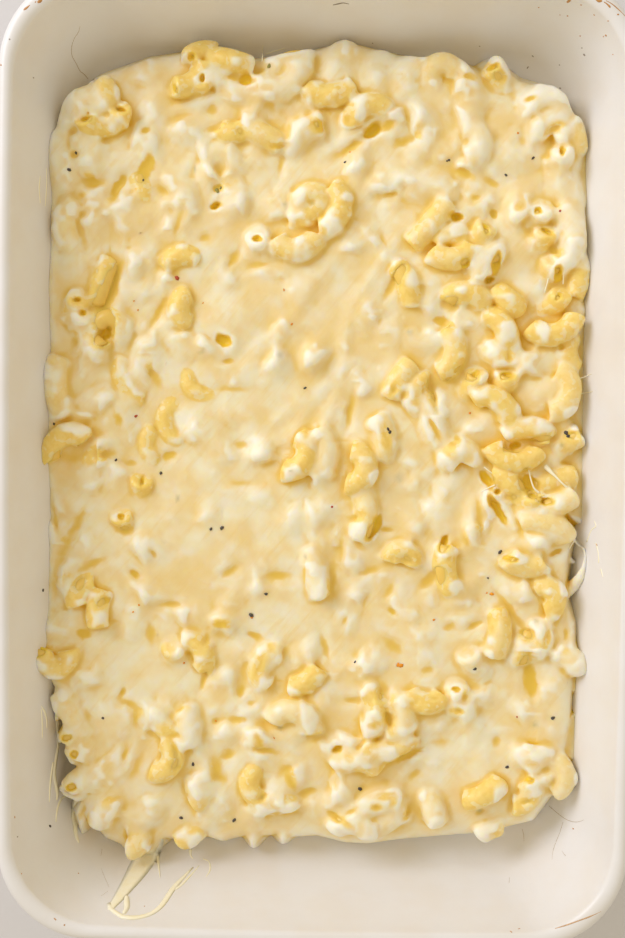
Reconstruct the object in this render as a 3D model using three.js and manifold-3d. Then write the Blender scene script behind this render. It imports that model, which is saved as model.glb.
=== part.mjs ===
// Macaroni and cheese in a rectangular stoneware baking dish.
//
// Two solids: the dish, which is one thin-walled shell with rounded corners, and the food,
// which is one lumpy slab that lies on the dish's floor and leans against its sloping walls.
// Millimetres, +Z up. +Y runs along the dish's long side, and the dish stands on z = 0,
// centred on the origin.

import * as THREE from 'three';
import { mergeVertices } from 'three/addons/utils/BufferGeometryUtils.js';
import Module from 'manifold-3d';

const wasm = await Module();
wasm.setup();

// ---------------------------------------------------------------- driving dimensions

const DISH_WIDTH = 228; // across the rim, between the middles of the long sides
const DISH_LENGTH = 346; // along the rim
const DISH_HEIGHT = 56;
const CORNER_RADIUS = 32; // of the rim, seen from above
const SIDE_BOW = 1.6; // how far the middle of each side bulges past its ends
const WALL = 5.4; // thickness, measured level
const FLOOR_TOP = 6; // height of the inside floor
const WALL_LEAN = Math.tan(THREE.MathUtils.degToRad(18.2)); // level run for each mm of height
const LIP_RADIUS = WALL / 2; // half-round on top of the wall
const FOOT_RADIUS = 4; // round between the outer wall and the foot
const FOOT_WIDTH = 8; // of the flat ring that the dish stands on
const FOOT_RECESS = 1.2; // depth of the hollow inside that ring
const INSIDE_RADIUS = 15; // hollow between the inner wall and the floor

const FOOD_GAP = 0.3; // between the food and the dish
const FOOD_LEVEL = 28.5; // height of the food's mean surface
const FOOD_SWELL = 1.3; // long, low waves of that surface
const FRONT_FALL = 11; // how much lower the food is at the front end
const FRONT_RUN = 44; // length of that fall
const BACK_FALL = 6;
const BACK_RUN = 26;
const EDGE_ROUND = 9; // width of the rounded edge of the food
const EDGE_DROP = 4.2; // how far the surface has fallen at its outline
const RELIEF_STEP = 4.7; // spacing of the surface's grid

const ELBOW_TUBE = 3.8; // radius of one piece of macaroni
const ELBOW_BEND = 7; // radius of the curve that it follows
const ELBOW_SPACING = 15; // between the lumps that show through the sauce
const ELBOW_STAND = [1, 5.2]; // least and most height of a lump above the sauce

// ---------------------------------------------------------------- seen from above

const CORNER_STEPS = 8;
const SHORT_STEPS = 4;
const LONG_STEPS = 6;

// The rim seen from above, anticlockwise: a rectangle with round corners and slightly bowed
// sides. Every level ring of the dish is this outline scaled about its centre.
function rimOutline() {
  const halfX = DISH_WIDTH / 2 - SIDE_BOW;
  const halfY = DISH_LENGTH / 2 - SIDE_BOW;
  const corners = [[1, 1], [-1, 1], [-1, -1], [1, -1]];
  const outline = [];
  corners.forEach(([sx, sy], quarter) => {
    const cx = sx * (halfX - CORNER_RADIUS);
    const cy = sy * (halfY - CORNER_RADIUS);
    for (let i = 0; i <= CORNER_STEPS; i += 1) {
      const angle = (quarter + i / CORNER_STEPS) * Math.PI / 2;
      outline.push(new THREE.Vector2(
        cx + CORNER_RADIUS * Math.cos(angle),
        cy + CORNER_RADIUS * Math.sin(angle),
      ));
    }
    // Then the side that follows the corner: a short one after the first and the third.
    const steps = quarter % 2 === 0 ? SHORT_STEPS : LONG_STEPS;
    const from = outline[outline.length - 1];
    const [nx, ny] = corners[(quarter + 1) % corners.length];
    const to = quarter % 2 === 0
      ? new THREE.Vector2(nx * (halfX - CORNER_RADIUS), from.y)
      : new THREE.Vector2(from.x, ny * (halfY - CORNER_RADIUS));
    for (let i = 1; i < steps; i += 1) outline.push(from.clone().lerp(to, i / steps));
  });
  return outline.map((p) => new THREE.Vector2(
    p.x + SIDE_BOW * (p.x / halfX) * (1 - (p.y / halfY) ** 2),
    p.y + SIDE_BOW * (p.y / halfY) * (1 - (p.x / halfX) ** 2),
  ));
}

const rim = rimOutline();

function dishRing(inset, height) {
  const scaleX = 1 - (2 * inset) / DISH_WIDTH;
  const scaleY = 1 - (2 * inset) / DISH_LENGTH;
  return rim.map((p) => new THREE.Vector3(p.x * scaleX, p.y * scaleY, height));
}

// A closed surface through rings of equal length, in order from the middle of the underside
// out and up. Both ends close with a fan about the ring's centre.
function loft(rings) {
  const count = rings[0].length;
  const points = rings.flat();
  const faces = [];
  for (let r = 0; r + 1 < rings.length; r += 1) {
    for (let j = 0; j < count; j += 1) {
      const a = r * count + j;
      const b = r * count + ((j + 1) % count);
      faces.push(a, b, b + count, a, b + count, a + count);
    }
  }
  const first = points.push(new THREE.Vector3(0, 0, rings[0][0].z)) - 1;
  const last = points.push(new THREE.Vector3(0, 0, rings[rings.length - 1][0].z)) - 1;
  const lastRing = (rings.length - 1) * count;
  for (let j = 0; j < count; j += 1) {
    const next = (j + 1) % count;
    faces.push(first, next, j);
    faces.push(last, lastRing + j, lastRing + next);
  }
  const geometry = new THREE.BufferGeometry().setFromPoints(points);
  geometry.setIndex(faces);
  return geometry;
}

// ---------------------------------------------------------------- the dish

const LIP_BASE = DISH_HEIGHT - LIP_RADIUS;
const innerInset = (height) => 2 * LIP_RADIUS + (LIP_BASE - height) * WALL_LEAN;
const outerInset = (height) => (LIP_BASE - height) * WALL_LEAN;

// The inner wall from the lip down, and its hollow round into the floor, as [inset, height].
// With a clearance it is the wall of the space that the food fills.
function insideProfile(clearance, steps) {
  const bend = Math.PI / 2 - Math.atan(WALL_LEAN); // the angle that the hollow turns through
  const radius = INSIDE_RADIUS;
  const floor = FLOOR_TOP + clearance;
  const level = Math.cos(Math.atan(WALL_LEAN));
  const wallEnd = floor + radius * (1 - Math.cos(bend));
  const wallInset = innerInset(wallEnd) + clearance / level;
  const profile = [];
  for (let i = 0; i <= steps; i += 1) {
    const angle = bend * (1 - i / steps);
    profile.push([
      wallInset + radius * (Math.sin(bend) - Math.sin(angle)),
      floor + radius * (1 - Math.cos(angle)),
    ]);
  }
  return profile;
}

function dish() {
  const profile = [];
  const footInset = outerInset(FOOT_RADIUS) + FOOT_RADIUS;
  // The recess inside the foot, and the foot's flat ring.
  profile.push([footInset + FOOT_WIDTH + FOOT_RECESS, FOOT_RECESS]);
  profile.push([footInset + FOOT_WIDTH, 0]);
  // The round from the foot to the outer wall.
  for (let i = 0; i <= 3; i += 1) {
    const angle = (i / 3) * (Math.PI / 2 - Math.atan(WALL_LEAN));
    profile.push([
      footInset - FOOT_RADIUS * Math.sin(angle),
      FOOT_RADIUS * (1 - Math.cos(angle)),
    ]);
  }
  // The lip's half-round, from the outer wall over to the inner one.
  for (let i = 0; i <= 6; i += 1) {
    const angle = (i / 6) * Math.PI;
    profile.push([
      LIP_RADIUS * (1 - Math.cos(angle)),
      LIP_BASE + LIP_RADIUS * Math.sin(angle),
    ]);
  }
  profile.push(...insideProfile(0, 5));
  return loft(profile.map(([inset, height]) => dishRing(inset, height)));
}

// ---------------------------------------------------------------- the food

// The food's uneven edge seen from above. It climbs the long walls, and stops short of the
// walls at both ends.
const FOOD_EDGE = [
  [-100, 88], [-99, 112], [-96, 129], [-84, 143], [-61, 150], [-44, 156], [-24, 150], [-5, 151],
  [12, 156], [32, 151], [48, 149], [66, 148], [82, 139], [94, 130], [100, 114], [100, 72],
  [96, 40], [97, 12], [93, -1], [97, -14], [92, -26], [93, -50], [98, -79], [94, -100],
  [93, -122], [81, -137], [55, -145], [9, -146], [-20, -149], [-46, -144], [-73, -152],
  [-91, -138], [-99, -105], [-106, -72], [-102, -31], [-105, 3], [-101, 40],
];
const EDGE_POINTS = 150;

const edgeCurve = new THREE.CatmullRomCurve3(
  FOOD_EDGE.map(([x, y]) => new THREE.Vector3(x, y, 0)),
  true,
  'catmullrom',
  0.5,
);
const edgeLine = edgeCurve.getSpacedPoints(EDGE_POINTS).slice(0, EDGE_POINTS);

// Repeatable numbers from 0 to 1.
function chance(seed) {
  let state = seed;
  return () => {
    state = (state * 1664525 + 1013904223) % 4294967296;
    return state / 4294967296;
  };
}

// Pieces of macaroni that lift the sauce: each is a short arc, kept as three points on it.
function elbowLumps() {
  const next = chance(11);
  const lumps = [];
  for (let x = -DISH_WIDTH / 2; x < DISH_WIDTH / 2; x += ELBOW_SPACING) {
    for (let y = -DISH_LENGTH / 2; y < DISH_LENGTH / 2; y += ELBOW_SPACING) {
      const centre = new THREE.Vector2(x + ELBOW_SPACING * next(), y + ELBOW_SPACING * next());
      const heading = 2 * Math.PI * next();
      const stand = THREE.MathUtils.lerp(ELBOW_STAND[0], ELBOW_STAND[1], next() ** 1.5);
      const arc = [-0.9, 0, 0.9].map((turn) => new THREE.Vector2(
        centre.x + ELBOW_BEND * (Math.cos(heading + turn) - Math.cos(heading) / 2),
        centre.y + ELBOW_BEND * (Math.sin(heading + turn) - Math.sin(heading) / 2),
      ));
      lumps.push({ arc, stand });
    }
  }
  return lumps;
}

const lumps = elbowLumps();

// How much one lump lifts the surface at a place.
function lift(lump, place) {
  const reach = ELBOW_TUBE * 1.6;
  const away = Math.min(...lump.arc.map((p) => p.distanceTo(place)));
  return lump.stand * Math.max(0, 1 - (away / reach) ** 2);
}

function foodHeight(x, y) {
  const place = new THREE.Vector2(x, y);
  const swell = FOOD_SWELL * (Math.sin(x / 23 + 0.6) * Math.cos(y / 31) + 0.5 * Math.sin((x + y) / 17));
  const front = FRONT_FALL * THREE.MathUtils.smoothstep(-y, 148 - FRONT_RUN, 148);
  const back = BACK_FALL * THREE.MathUtils.smoothstep(y, 152 - BACK_RUN, 152);
  const away = Math.min(...edgeLine.map((p) => Math.hypot(p.x - x, p.y - y)));
  const edge = EDGE_DROP * Math.max(0, 1 - away / EDGE_ROUND) ** 2;
  const lump = Math.max(...lumps.map((one) => lift(one, place)));
  return FOOD_LEVEL + swell - front - back - edge + lump;
}

// A block whose top is the food's surface. It is larger than the food on every other side.
function reliefBlock() {
  const width = DISH_WIDTH - 10;
  const length = DISH_LENGTH - 20;
  const geometry = new THREE.BoxGeometry(
    width,
    length,
    2,
    Math.round(width / RELIEF_STEP),
    Math.round(length / RELIEF_STEP),
    1,
  );
  const position = geometry.attributes.position;
  for (let i = 0; i < position.count; i += 1) {
    const top = position.getZ(i) > 0;
    position.setZ(i, top ? foodHeight(position.getX(i), position.getY(i)) : 0);
  }
  return geometry;
}

function edgePrism() {
  const outline = new THREE.Shape(edgeLine.map((p) => new THREE.Vector2(p.x, p.y)));
  return new THREE.ExtrudeGeometry(outline, { depth: DISH_HEIGHT, bevelEnabled: false });
}

// The space inside the dish, clear of its floor and walls.
function dishSpace() {
  const profile = insideProfile(FOOD_GAP, 4).reverse();
  const top = DISH_HEIGHT + 10;
  profile.push([innerInset(top) + FOOD_GAP, top]);
  return loft(profile.map(([inset, height]) => dishRing(inset, height)));
}

// ---------------------------------------------------------------- cutting and joining

function toSolid(geometry) {
  const bare = geometry.clone();
  bare.deleteAttribute('normal');
  bare.deleteAttribute('uv');
  const merged = mergeVertices(bare, 1e-4);
  return new wasm.Manifold(new wasm.Mesh({
    numProp: 3,
    vertProperties: new Float32Array(merged.attributes.position.array),
    triVerts: new Uint32Array(merged.index.array),
  }));
}

function toGeometry(solid) {
  const mesh = solid.getMesh();
  const geometry = new THREE.BufferGeometry();
  geometry.setAttribute('position', new THREE.BufferAttribute(mesh.vertProperties, 3));
  geometry.setIndex(new THREE.BufferAttribute(mesh.triVerts, 1));
  return geometry;
}

function food() {
  const solid = toSolid(reliefBlock())
    .intersect(toSolid(edgePrism()))
    .intersect(toSolid(dishSpace()));
  return toGeometry(solid);
}

// ---------------------------------------------------------------- the object

function named(name, geometry, look) {
  geometry.computeVertexNormals();
  const mesh = new THREE.Mesh(geometry, new THREE.MeshStandardMaterial({ metalness: 0, ...look }));
  mesh.name = name;
  return mesh;
}

const group = new THREE.Group();
group.add(named('baking_dish', dish(), { color: 0xe9e0d2, roughness: 0.35 }));
group.add(named('mac_and_cheese', food(), { color: 0xf0d9a0, roughness: 0.4 }));

export default group;
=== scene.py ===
"""Macaroni and cheese in a rectangular stoneware baking dish, modelled round its CAD frame."""
import math
from dataclasses import dataclass

import bpy
import numpy as np
from bpy.props import FloatProperty, FloatVectorProperty, IntProperty, PointerProperty
from bpy.types import Operator, Panel, PropertyGroup
from mathutils import Euler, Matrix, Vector


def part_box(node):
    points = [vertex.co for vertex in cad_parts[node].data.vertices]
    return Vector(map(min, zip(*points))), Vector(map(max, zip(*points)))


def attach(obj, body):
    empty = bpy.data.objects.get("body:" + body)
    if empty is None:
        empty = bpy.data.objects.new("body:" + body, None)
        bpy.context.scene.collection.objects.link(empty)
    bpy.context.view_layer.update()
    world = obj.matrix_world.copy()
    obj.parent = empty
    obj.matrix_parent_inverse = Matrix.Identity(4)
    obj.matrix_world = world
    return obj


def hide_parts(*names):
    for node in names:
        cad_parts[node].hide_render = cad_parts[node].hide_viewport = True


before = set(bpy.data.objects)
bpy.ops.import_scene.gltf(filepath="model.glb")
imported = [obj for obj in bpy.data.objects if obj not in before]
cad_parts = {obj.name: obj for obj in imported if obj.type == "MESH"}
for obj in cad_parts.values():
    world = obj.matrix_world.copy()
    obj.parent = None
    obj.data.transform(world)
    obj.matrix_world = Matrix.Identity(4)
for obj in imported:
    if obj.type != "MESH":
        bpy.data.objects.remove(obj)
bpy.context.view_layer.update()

bl_info = {
    "name": "Macaroni and Cheese in a Baking Dish",
    "version": (1, 0, 0),
    "blender": (4, 5, 0),
    "location": "View3D > Sidebar > Bake",
    "description": "Builds macaroni and cheese in the stoneware dish that it is baked in",
    "category": "Add Mesh",
}

MM = 0.001
ROOT = "root"
DISH_NODE = "baking_dish"
FOOD_NODE = "mac_and_cheese"
DISH_LOW, DISH_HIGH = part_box(DISH_NODE)
FOOD_LOW, FOOD_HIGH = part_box(FOOD_NODE)


# ------------------------------------------------------------------ settings


def length(name, description, default, low=0.0):
    """A length that the user can change, in metres."""
    return FloatProperty(
        name=name, description=description, default=default, min=low, unit="LENGTH", precision=5
    )


def swatch(name, description, code):
    """A colour that the user can change, given as an sRGB hex code."""
    return FloatVectorProperty(
        name=name, description=description, default=linear(code), subtype="COLOR", min=0, max=1
    )


def linear(code):
    """The linear red, green and blue of an sRGB hex code."""
    parts = [int(code[i : i + 2], 16) / 255 for i in (0, 2, 4)]
    return tuple(p / 12.92 if p <= 0.04045 else ((p + 0.055) / 1.055) ** 2.4 for p in parts)


class DishSettings(PropertyGroup):
    """Sizes of the dish. They repeat the CAD dish, so that the food fits."""

    width: length("Width", "Across the rim", DISH_HIGH.x - DISH_LOW.x)
    length: length("Length", "Along the rim", DISH_HIGH.y - DISH_LOW.y)
    height: length("Height", "From the foot to the rim", DISH_HIGH.z - DISH_LOW.z)
    corner: length("Corner radius", "Of the rim, seen from above", 32 * MM)
    bow: length("Side bow", "How far the middle of a side bulges", 1.6 * MM)
    wall: length("Wall", "Thickness of the wall, measured level", 5.4 * MM)
    floor: length("Floor", "Height of the inside floor", 6 * MM)
    lean: FloatProperty(
        name="Lean",
        description="How far the walls lean outwards",
        default=math.radians(18.2),
        subtype="ANGLE",
    )
    foot_round: length("Foot round", "Between the outer wall and the foot", 4 * MM)
    foot_width: length("Foot width", "Of the ring that the dish stands on", 8 * MM)
    foot_recess: length("Foot recess", "Depth of the hollow inside the foot", 1.2 * MM)
    hollow: length("Hollow", "Radius between the inner wall and the floor", 15 * MM)


class FoodSettings(PropertyGroup):
    """Sizes of the food."""

    step: length("Step", "Spacing of the samples that shape the sauce", 0.6 * MM)
    level: length("Level", "Height of the sauce", 28.0 * MM)
    tube: length("Tube", "Radius of one piece of macaroni", 3.7 * MM)
    bore: length("Bore", "Radius of the hole through it", 1.6 * MM)
    bend: length("Bend", "Radius of the curve that it follows", 7.2 * MM)
    triangles: IntProperty(
        name="Triangles", description="About how many the sauce is thinned out to", default=194000
    )
    seed: IntProperty(name="Seed", description="Of the scattered macaroni", default=4)


class LookSettings(PropertyGroup):
    """Colours of the finishes."""

    glaze: swatch("Glaze", "Cream stoneware glaze", "ebebee")
    baked: swatch("Baked-on marks", "Fat that has browned on the rim", "cf965a")
    sauce: swatch("Sauce", "Cheese sauce where it lies thick", "f9ecca")
    film: swatch("Film", "Cheese sauce where pasta shows through", "f9dc86")
    # Painted shade, partly thin sauce: the crease and golden colours darken and yellow the sauce in hollows
    # and between lumps, as far as the surface is hollow, where shade would fall.
    crease: swatch("Crease", "Between lumps, where the sauce lies thin", "f0cf66")
    golden: swatch("Golden crease", "Where pasta meets pasta under the thinnest sauce", "ebbf34")
    # Paler sauce in random patches, and painted sheen: convex ridges are lightened toward this colour where
    # a soft reflection of the light would lie.
    cream_and_sheen: swatch("Cream", "Ridges of the thickest sauce", "fbf5e8")
    butter: swatch("Butter", "Yellower streaks in the sauce", "f2d893")
    pulled: swatch("Pulled sauce", "Thin films and strings of sauce", "fefae4")
    # Pasta showing in gaps of the sauce, with painted shade: the window and pocket colours grow stronger
    # the deeper a hollow or hole is, darkening it as shade would.
    window: swatch("Window", "A gap in the sauce, filled with wet pasta", "ecc94e")
    pocket_pasta_and_shade: swatch("Pocket", "Deep in a hollow", "f3d136")
    pasta: swatch("Pasta", "Cooked durum wheat pasta", "eeca66")
    sunken: swatch("Sunken pepper", "Sauce over pepper that lies under it", "b9b590")
    pepper: swatch("Pepper", "Ground black pepper", "554e47")
    red: swatch("Red flakes", "Flakes of chilli", "c4553a")
    orange: swatch("Orange flakes", "Flakes of paprika", "ffa526")
    herb: swatch("Herb", "Shreds of dried herb", "a09a50")
    stain: swatch("Pale stain", "A long thin stain on the rim", "dcb58c")
    line: swatch("Glaze cracks", "Fine cracks in the glaze", "b9a283")
    scuff: swatch("Scuffs", "Grey scuffs on the glaze", "9b8f86")
    floor: swatch("Floor", "The plain floor", "dbdade")


# ------------------------------------------------------------------ materials


def add_node(material, kind, links=None, **settings):
    """Adds a node to a material. Settings name its properties or sockets, and links its inputs."""
    tree = material.node_tree
    node = tree.nodes.new(kind)
    for key, value in settings.items():
        if hasattr(node, key):
            setattr(node, key, value)
        else:
            node.inputs[key.replace("_", " ")].default_value = value
    for key, source in (links or {}).items():
        tree.links.new(source, node.inputs[key])
    return node


def new_material(name):
    """A material without any nodes."""
    material = bpy.data.materials.new(name)
    material.use_nodes = True
    material.node_tree.nodes.clear()
    return material


def finished(material, links, **settings):
    """The material, given a Principled surface with these links and settings."""
    shader = add_node(material, "ShaderNodeBsdfPrincipled", links, **settings)
    add_node(material, "ShaderNodeOutputMaterial", {"Surface": shader.outputs[0]})
    return material


def tinted(colour, factors):
    """A colour with its red, green and blue scaled, up to white."""
    return tuple(min(1.0, c * k) for c, k in zip(colour, factors))


def mix_colour(material, factor, first, second):
    """A Mix node for colours. Each of the last two is a colour or a socket."""
    node = add_node(material, "ShaderNodeMix", data_type="RGBA")
    material.node_tree.links.new(factor, node.inputs["Factor"])
    for socket, value in ((node.inputs[6], first), (node.inputs[7], second)):
        if isinstance(value, bpy.types.NodeSocket):
            material.node_tree.links.new(value, socket)
        else:
            socket.default_value = (*value, 1.0)
    return node.outputs[2]


def band(material, value, low, high, to_low=0.0, to_high=1.0):
    """Maps low..high of a value to another range, clamped and eased."""
    node = add_node(
        material, "ShaderNodeMapRange", {"Value": value}, interpolation_type="SMOOTHSTEP"
    )
    for key, number in zip(("From Min", "From Max", "To Min", "To Max"), (low, high, to_low, to_high)):
        node.inputs[key].default_value = number
    return node.outputs["Result"]


def layered(material, colour, layers):
    """Lays tones over a colour, each as strong as a band of some value makes it."""
    for value, limits, strengths, tone in layers:
        factor = band(material, value, *limits, *strengths)
        colour = mix_colour(material, factor, colour, tone)
    return colour


def object_noise(material, grain, detail=2.0, roughness=0.5):
    """Noise on Object coordinates, with grains of a size in metres."""
    place = add_node(material, "ShaderNodeTexCoord").outputs["Object"]
    return add_node(
        material,
        "ShaderNodeTexNoise",
        {"Vector": place},
        Scale=1 / grain,
        Detail=detail,
        Roughness=roughness,
    ).outputs["Fac"]


def pulled_noise(material, grains):
    """Noise on Object coordinates that is drawn out along the way the sauce was pulled."""
    place = add_node(material, "ShaderNodeTexCoord").outputs["Object"]
    turned = add_node(material, "ShaderNodeMapping", {"Vector": place}, vector_type="TEXTURE")
    turned.inputs["Rotation"].default_value = (0, 0, math.atan2(PULL[1], PULL[0]))
    turned.inputs["Scale"].default_value = grains
    noise = add_node(
        material, "ShaderNodeTexNoise", {"Vector": turned.outputs[0]}, Scale=1.0, Detail=2.0
    )
    return noise.outputs["Fac"]


def bump(material, height, distance, under=None):
    """Relief from a height, added to any relief that lies under it."""
    links = {"Height": height}
    if under is not None:
        links["Normal"] = under
    return add_node(material, "ShaderNodeBump", links, Distance=distance).outputs["Normal"]


def stoneware_glaze(look):
    """Cream glaze on stoneware, dipped and fired: a satin coat over a slightly uneven body."""
    material = new_material("stoneware_glaze")
    mottle = object_noise(material, 18 * MM, 3.0)
    grain = object_noise(material, 0.9 * MM, 2.0)
    warm = tinted(look.glaze, (0.985, 0.965, 0.935))
    speckled = tinted(look.glaze, (0.965, 0.965, 0.965))
    colour = layered(
        material,
        look.glaze,
        ((mottle, (0.35, 0.7), (0.0, 1.0), warm), (grain, (0.56, 0.8), (0.0, 0.7), speckled)),
    )
    relief = bump(material, grain, 0.012 * MM, bump(material, mottle, 0.3 * MM))
    return finished(
        material, {"Base Color": colour, "Normal": relief}, Roughness=0.32, IOR=1.5
    )


def cheese_sauce(look):
    """Cheese sauce: a thick emulsion that light enters, with a smooth wet skin."""
    material = new_material("cheese_sauce")

    def attribute(name):
        return add_node(material, "ShaderNodeAttribute", attribute_name=name).outputs["Fac"]

    streak = pulled_noise(material, (16 * MM, 2.4 * MM, 4 * MM))
    patches = object_noise(material, 10 * MM)
    pools = object_noise(material, 34 * MM)
    veil = object_noise(material, 3 * MM)
    smears = object_noise(material, 2.8 * MM, 1.5)
    crease, deep = attribute("crease"), attribute("deep")
    thick_sauce = layered(
        material,
        look.sauce,
        (
            (patches, (0.42, 0.72), (0.0, 0.7), look.butter),
            (pools, (0.4, 0.65), (0.0, 0.55), look.butter),
            (streak, (0.5, 0.75), (0.0, 0.5), look.butter),
            (patches, (0.26, 0.5), (0.5, 0.0), look.cream_and_sheen),
            # Painted sheen: ridges, where the crease value is below zero, are lightened toward cream in
            # place of a glossy reflection.
            (crease, (-0.22 * MM, 0.0), (0.9, 0.0), look.cream_and_sheen),
        ),
    )
    thin_sauce = layered(
        material,
        look.film,
        (
            (veil, (0.42, 0.62), (0.0, 0.55), look.crease),
            (smears, (0.55, 0.63), (0.0, 0.5), look.sauce),
        ),
    )
    thickness = band(material, attribute("film"), 0.46 * MM, 1.1 * MM)
    colour = layered(
        material,
        mix_colour(material, thickness, thin_sauce, thick_sauce),
        (
            # Painted shade, partly thin sauce: hollows are darkened to the crease colour and, deeper still,
            # to the golden one.
            (crease, (0.02 * MM, 0.22 * MM), (0.0, 0.85), look.crease),
            (crease, (0.18 * MM, 0.45 * MM), (0.0, 1.0), look.golden),
            # Pasta in gaps and holes, with painted shade that grows with the depth of each hollow.
            (deep, (0.0, 0.6), (0.0, 1.0), look.window),
            (deep, (0.6, 1.0), (0.0, 1.0), look.pocket_pasta_and_shade),
        ),
    )
    colour = mix_colour(material, attribute("sunken"), colour, look.sunken)
    relief = bump(material, object_noise(material, 6 * MM), 0.2 * MM)
    relief = bump(material, streak, 0.14 * MM, relief)
    relief = bump(material, smears, 0.07 * MM, relief)
    return finished(
        material,
        {"Base Color": colour, "Normal": relief},
        Roughness=0.48,
        IOR=1.47,
        Coat_Weight=0.09,
        Coat_Roughness=0.13,
        Subsurface_Weight=0.8,
        Subsurface_Radius=(1.0, 0.88, 0.35),
        Subsurface_Scale=2.0 * MM,
    )


def pulled_sauce(look):
    """Cheese sauce drawn out into films and strings: paler, because the light goes through."""
    material = new_material("pulled_sauce")
    veil = object_noise(material, 3 * MM, 3.0)
    deeper = tinted(look.pulled, (0.99, 0.97, 0.9))
    colour = mix_colour(material, band(material, veil, 0.4, 0.7), look.pulled, deeper)
    relief = bump(material, veil, 0.1 * MM)
    return finished(
        material, {"Base Color": colour, "Normal": relief}, Roughness=0.25, IOR=1.45
    )


def cooked_pasta(look):
    """Cooked durum wheat pasta: translucent, golden and wet."""
    material = new_material("cooked_pasta")
    patches = object_noise(material, 6 * MM)
    pale = tinted(look.pasta, (1.02, 1.05, 1.2))
    colour = mix_colour(material, band(material, patches, 0.35, 0.65), look.pasta, pale)
    return finished(
        material,
        {"Base Color": colour},
        Roughness=0.25,
        IOR=1.45,
        Subsurface_Weight=0.3,
        Subsurface_Radius=(1.0, 0.8, 0.4),
        Subsurface_Scale=1.5 * MM,
    )


def speck_finish(name, colour, roughness=0.5):
    """Ground spice or a baked-on mark: small, dry and mottled."""
    material = new_material(name)
    mottle = object_noise(material, 0.5 * MM)
    dark = tinted(colour, (0.75, 0.75, 0.75))
    colour = mix_colour(material, band(material, mottle, 0.35, 0.65), dark, colour)
    return finished(material, {"Base Color": colour}, Roughness=roughness)


def plain_floor(look):
    """Matte painted board."""
    material = new_material("plain_floor")
    grain = object_noise(material, 2 * MM)
    dark = tinted(look.floor, (0.97, 0.97, 0.97))
    colour = mix_colour(material, grain, look.floor, dark)
    return finished(material, {"Base Color": colour}, Roughness=0.7)


# ------------------------------------------------------------------ making meshes


def clean_slate():
    """Object mode with nothing selected."""
    if bpy.context.object is not None and bpy.context.object.mode != "OBJECT":
        bpy.ops.object.mode_set(mode="OBJECT")
    bpy.ops.object.select_all(action="DESELECT")


def mesh_object(name, verts, faces, material):
    """A smooth object of vertices and faces."""
    mesh = bpy.data.meshes.new(name)
    counts = np.array([len(f) for f in faces], np.int32)
    corners = np.concatenate([np.asarray(f, np.int32).ravel() for f in faces])
    mesh.vertices.add(len(verts))
    mesh.vertices.foreach_set("co", np.asarray(verts, np.float32).ravel())
    mesh.loops.add(len(corners))
    mesh.loops.foreach_set("vertex_index", corners)
    mesh.polygons.add(len(counts))
    starts = np.concatenate([[0], np.cumsum(counts)[:-1]]).astype(np.int32)
    mesh.polygons.foreach_set("loop_start", starts)
    mesh.polygons.foreach_set("use_smooth", np.ones(len(counts), bool))
    mesh.update(calc_edges=True)
    mesh.validate()
    mesh.materials.append(material)
    ob = bpy.data.objects.new(name, mesh)
    bpy.context.collection.objects.link(ob)
    return ob


def taken_apart(ob):
    """The vertices and faces of a modelled object, whose mesh is removed."""
    verts = np.array([v.co[:] for v in ob.data.vertices])
    faces = [list(p.vertices) for p in ob.data.polygons]
    bpy.data.meshes.remove(ob.data)
    return verts, faces


def add_copy(points, faces, places, sides):
    """Adds a copy of a shape, with its vertices at these places, to lists of points and faces."""
    faces += [[len(points) + i for i in face] for face in sides]
    points += np.array(places).tolist()


def add_float(ob, name, values):
    """A number for each vertex, which its material reads."""
    attribute = ob.data.attributes.new(name, "FLOAT", "POINT")
    attribute.data.foreach_set("value", np.asarray(values, np.float32))


def thin_out(ob, triangles):
    """Merges faces where they lie flat, down to about a number of triangles."""
    clean_slate()
    ob.select_set(True)
    bpy.context.view_layer.objects.active = ob
    count = sum(len(face.vertices) - 2 for face in ob.data.polygons)
    modifier = ob.modifiers.new("thin", "DECIMATE")
    modifier.ratio = min(1.0, triangles / count)
    bpy.ops.object.modifier_apply(modifier=modifier.name)
    bpy.ops.object.shade_smooth()


def place_piece(ob, node=None):
    """Rides a finished piece on the dish's body, and hides the node that it stands for."""
    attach(ob, ROOT)
    if node is not None:
        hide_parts(node)


# ------------------------------------------------------------------ the dish's form


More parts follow.
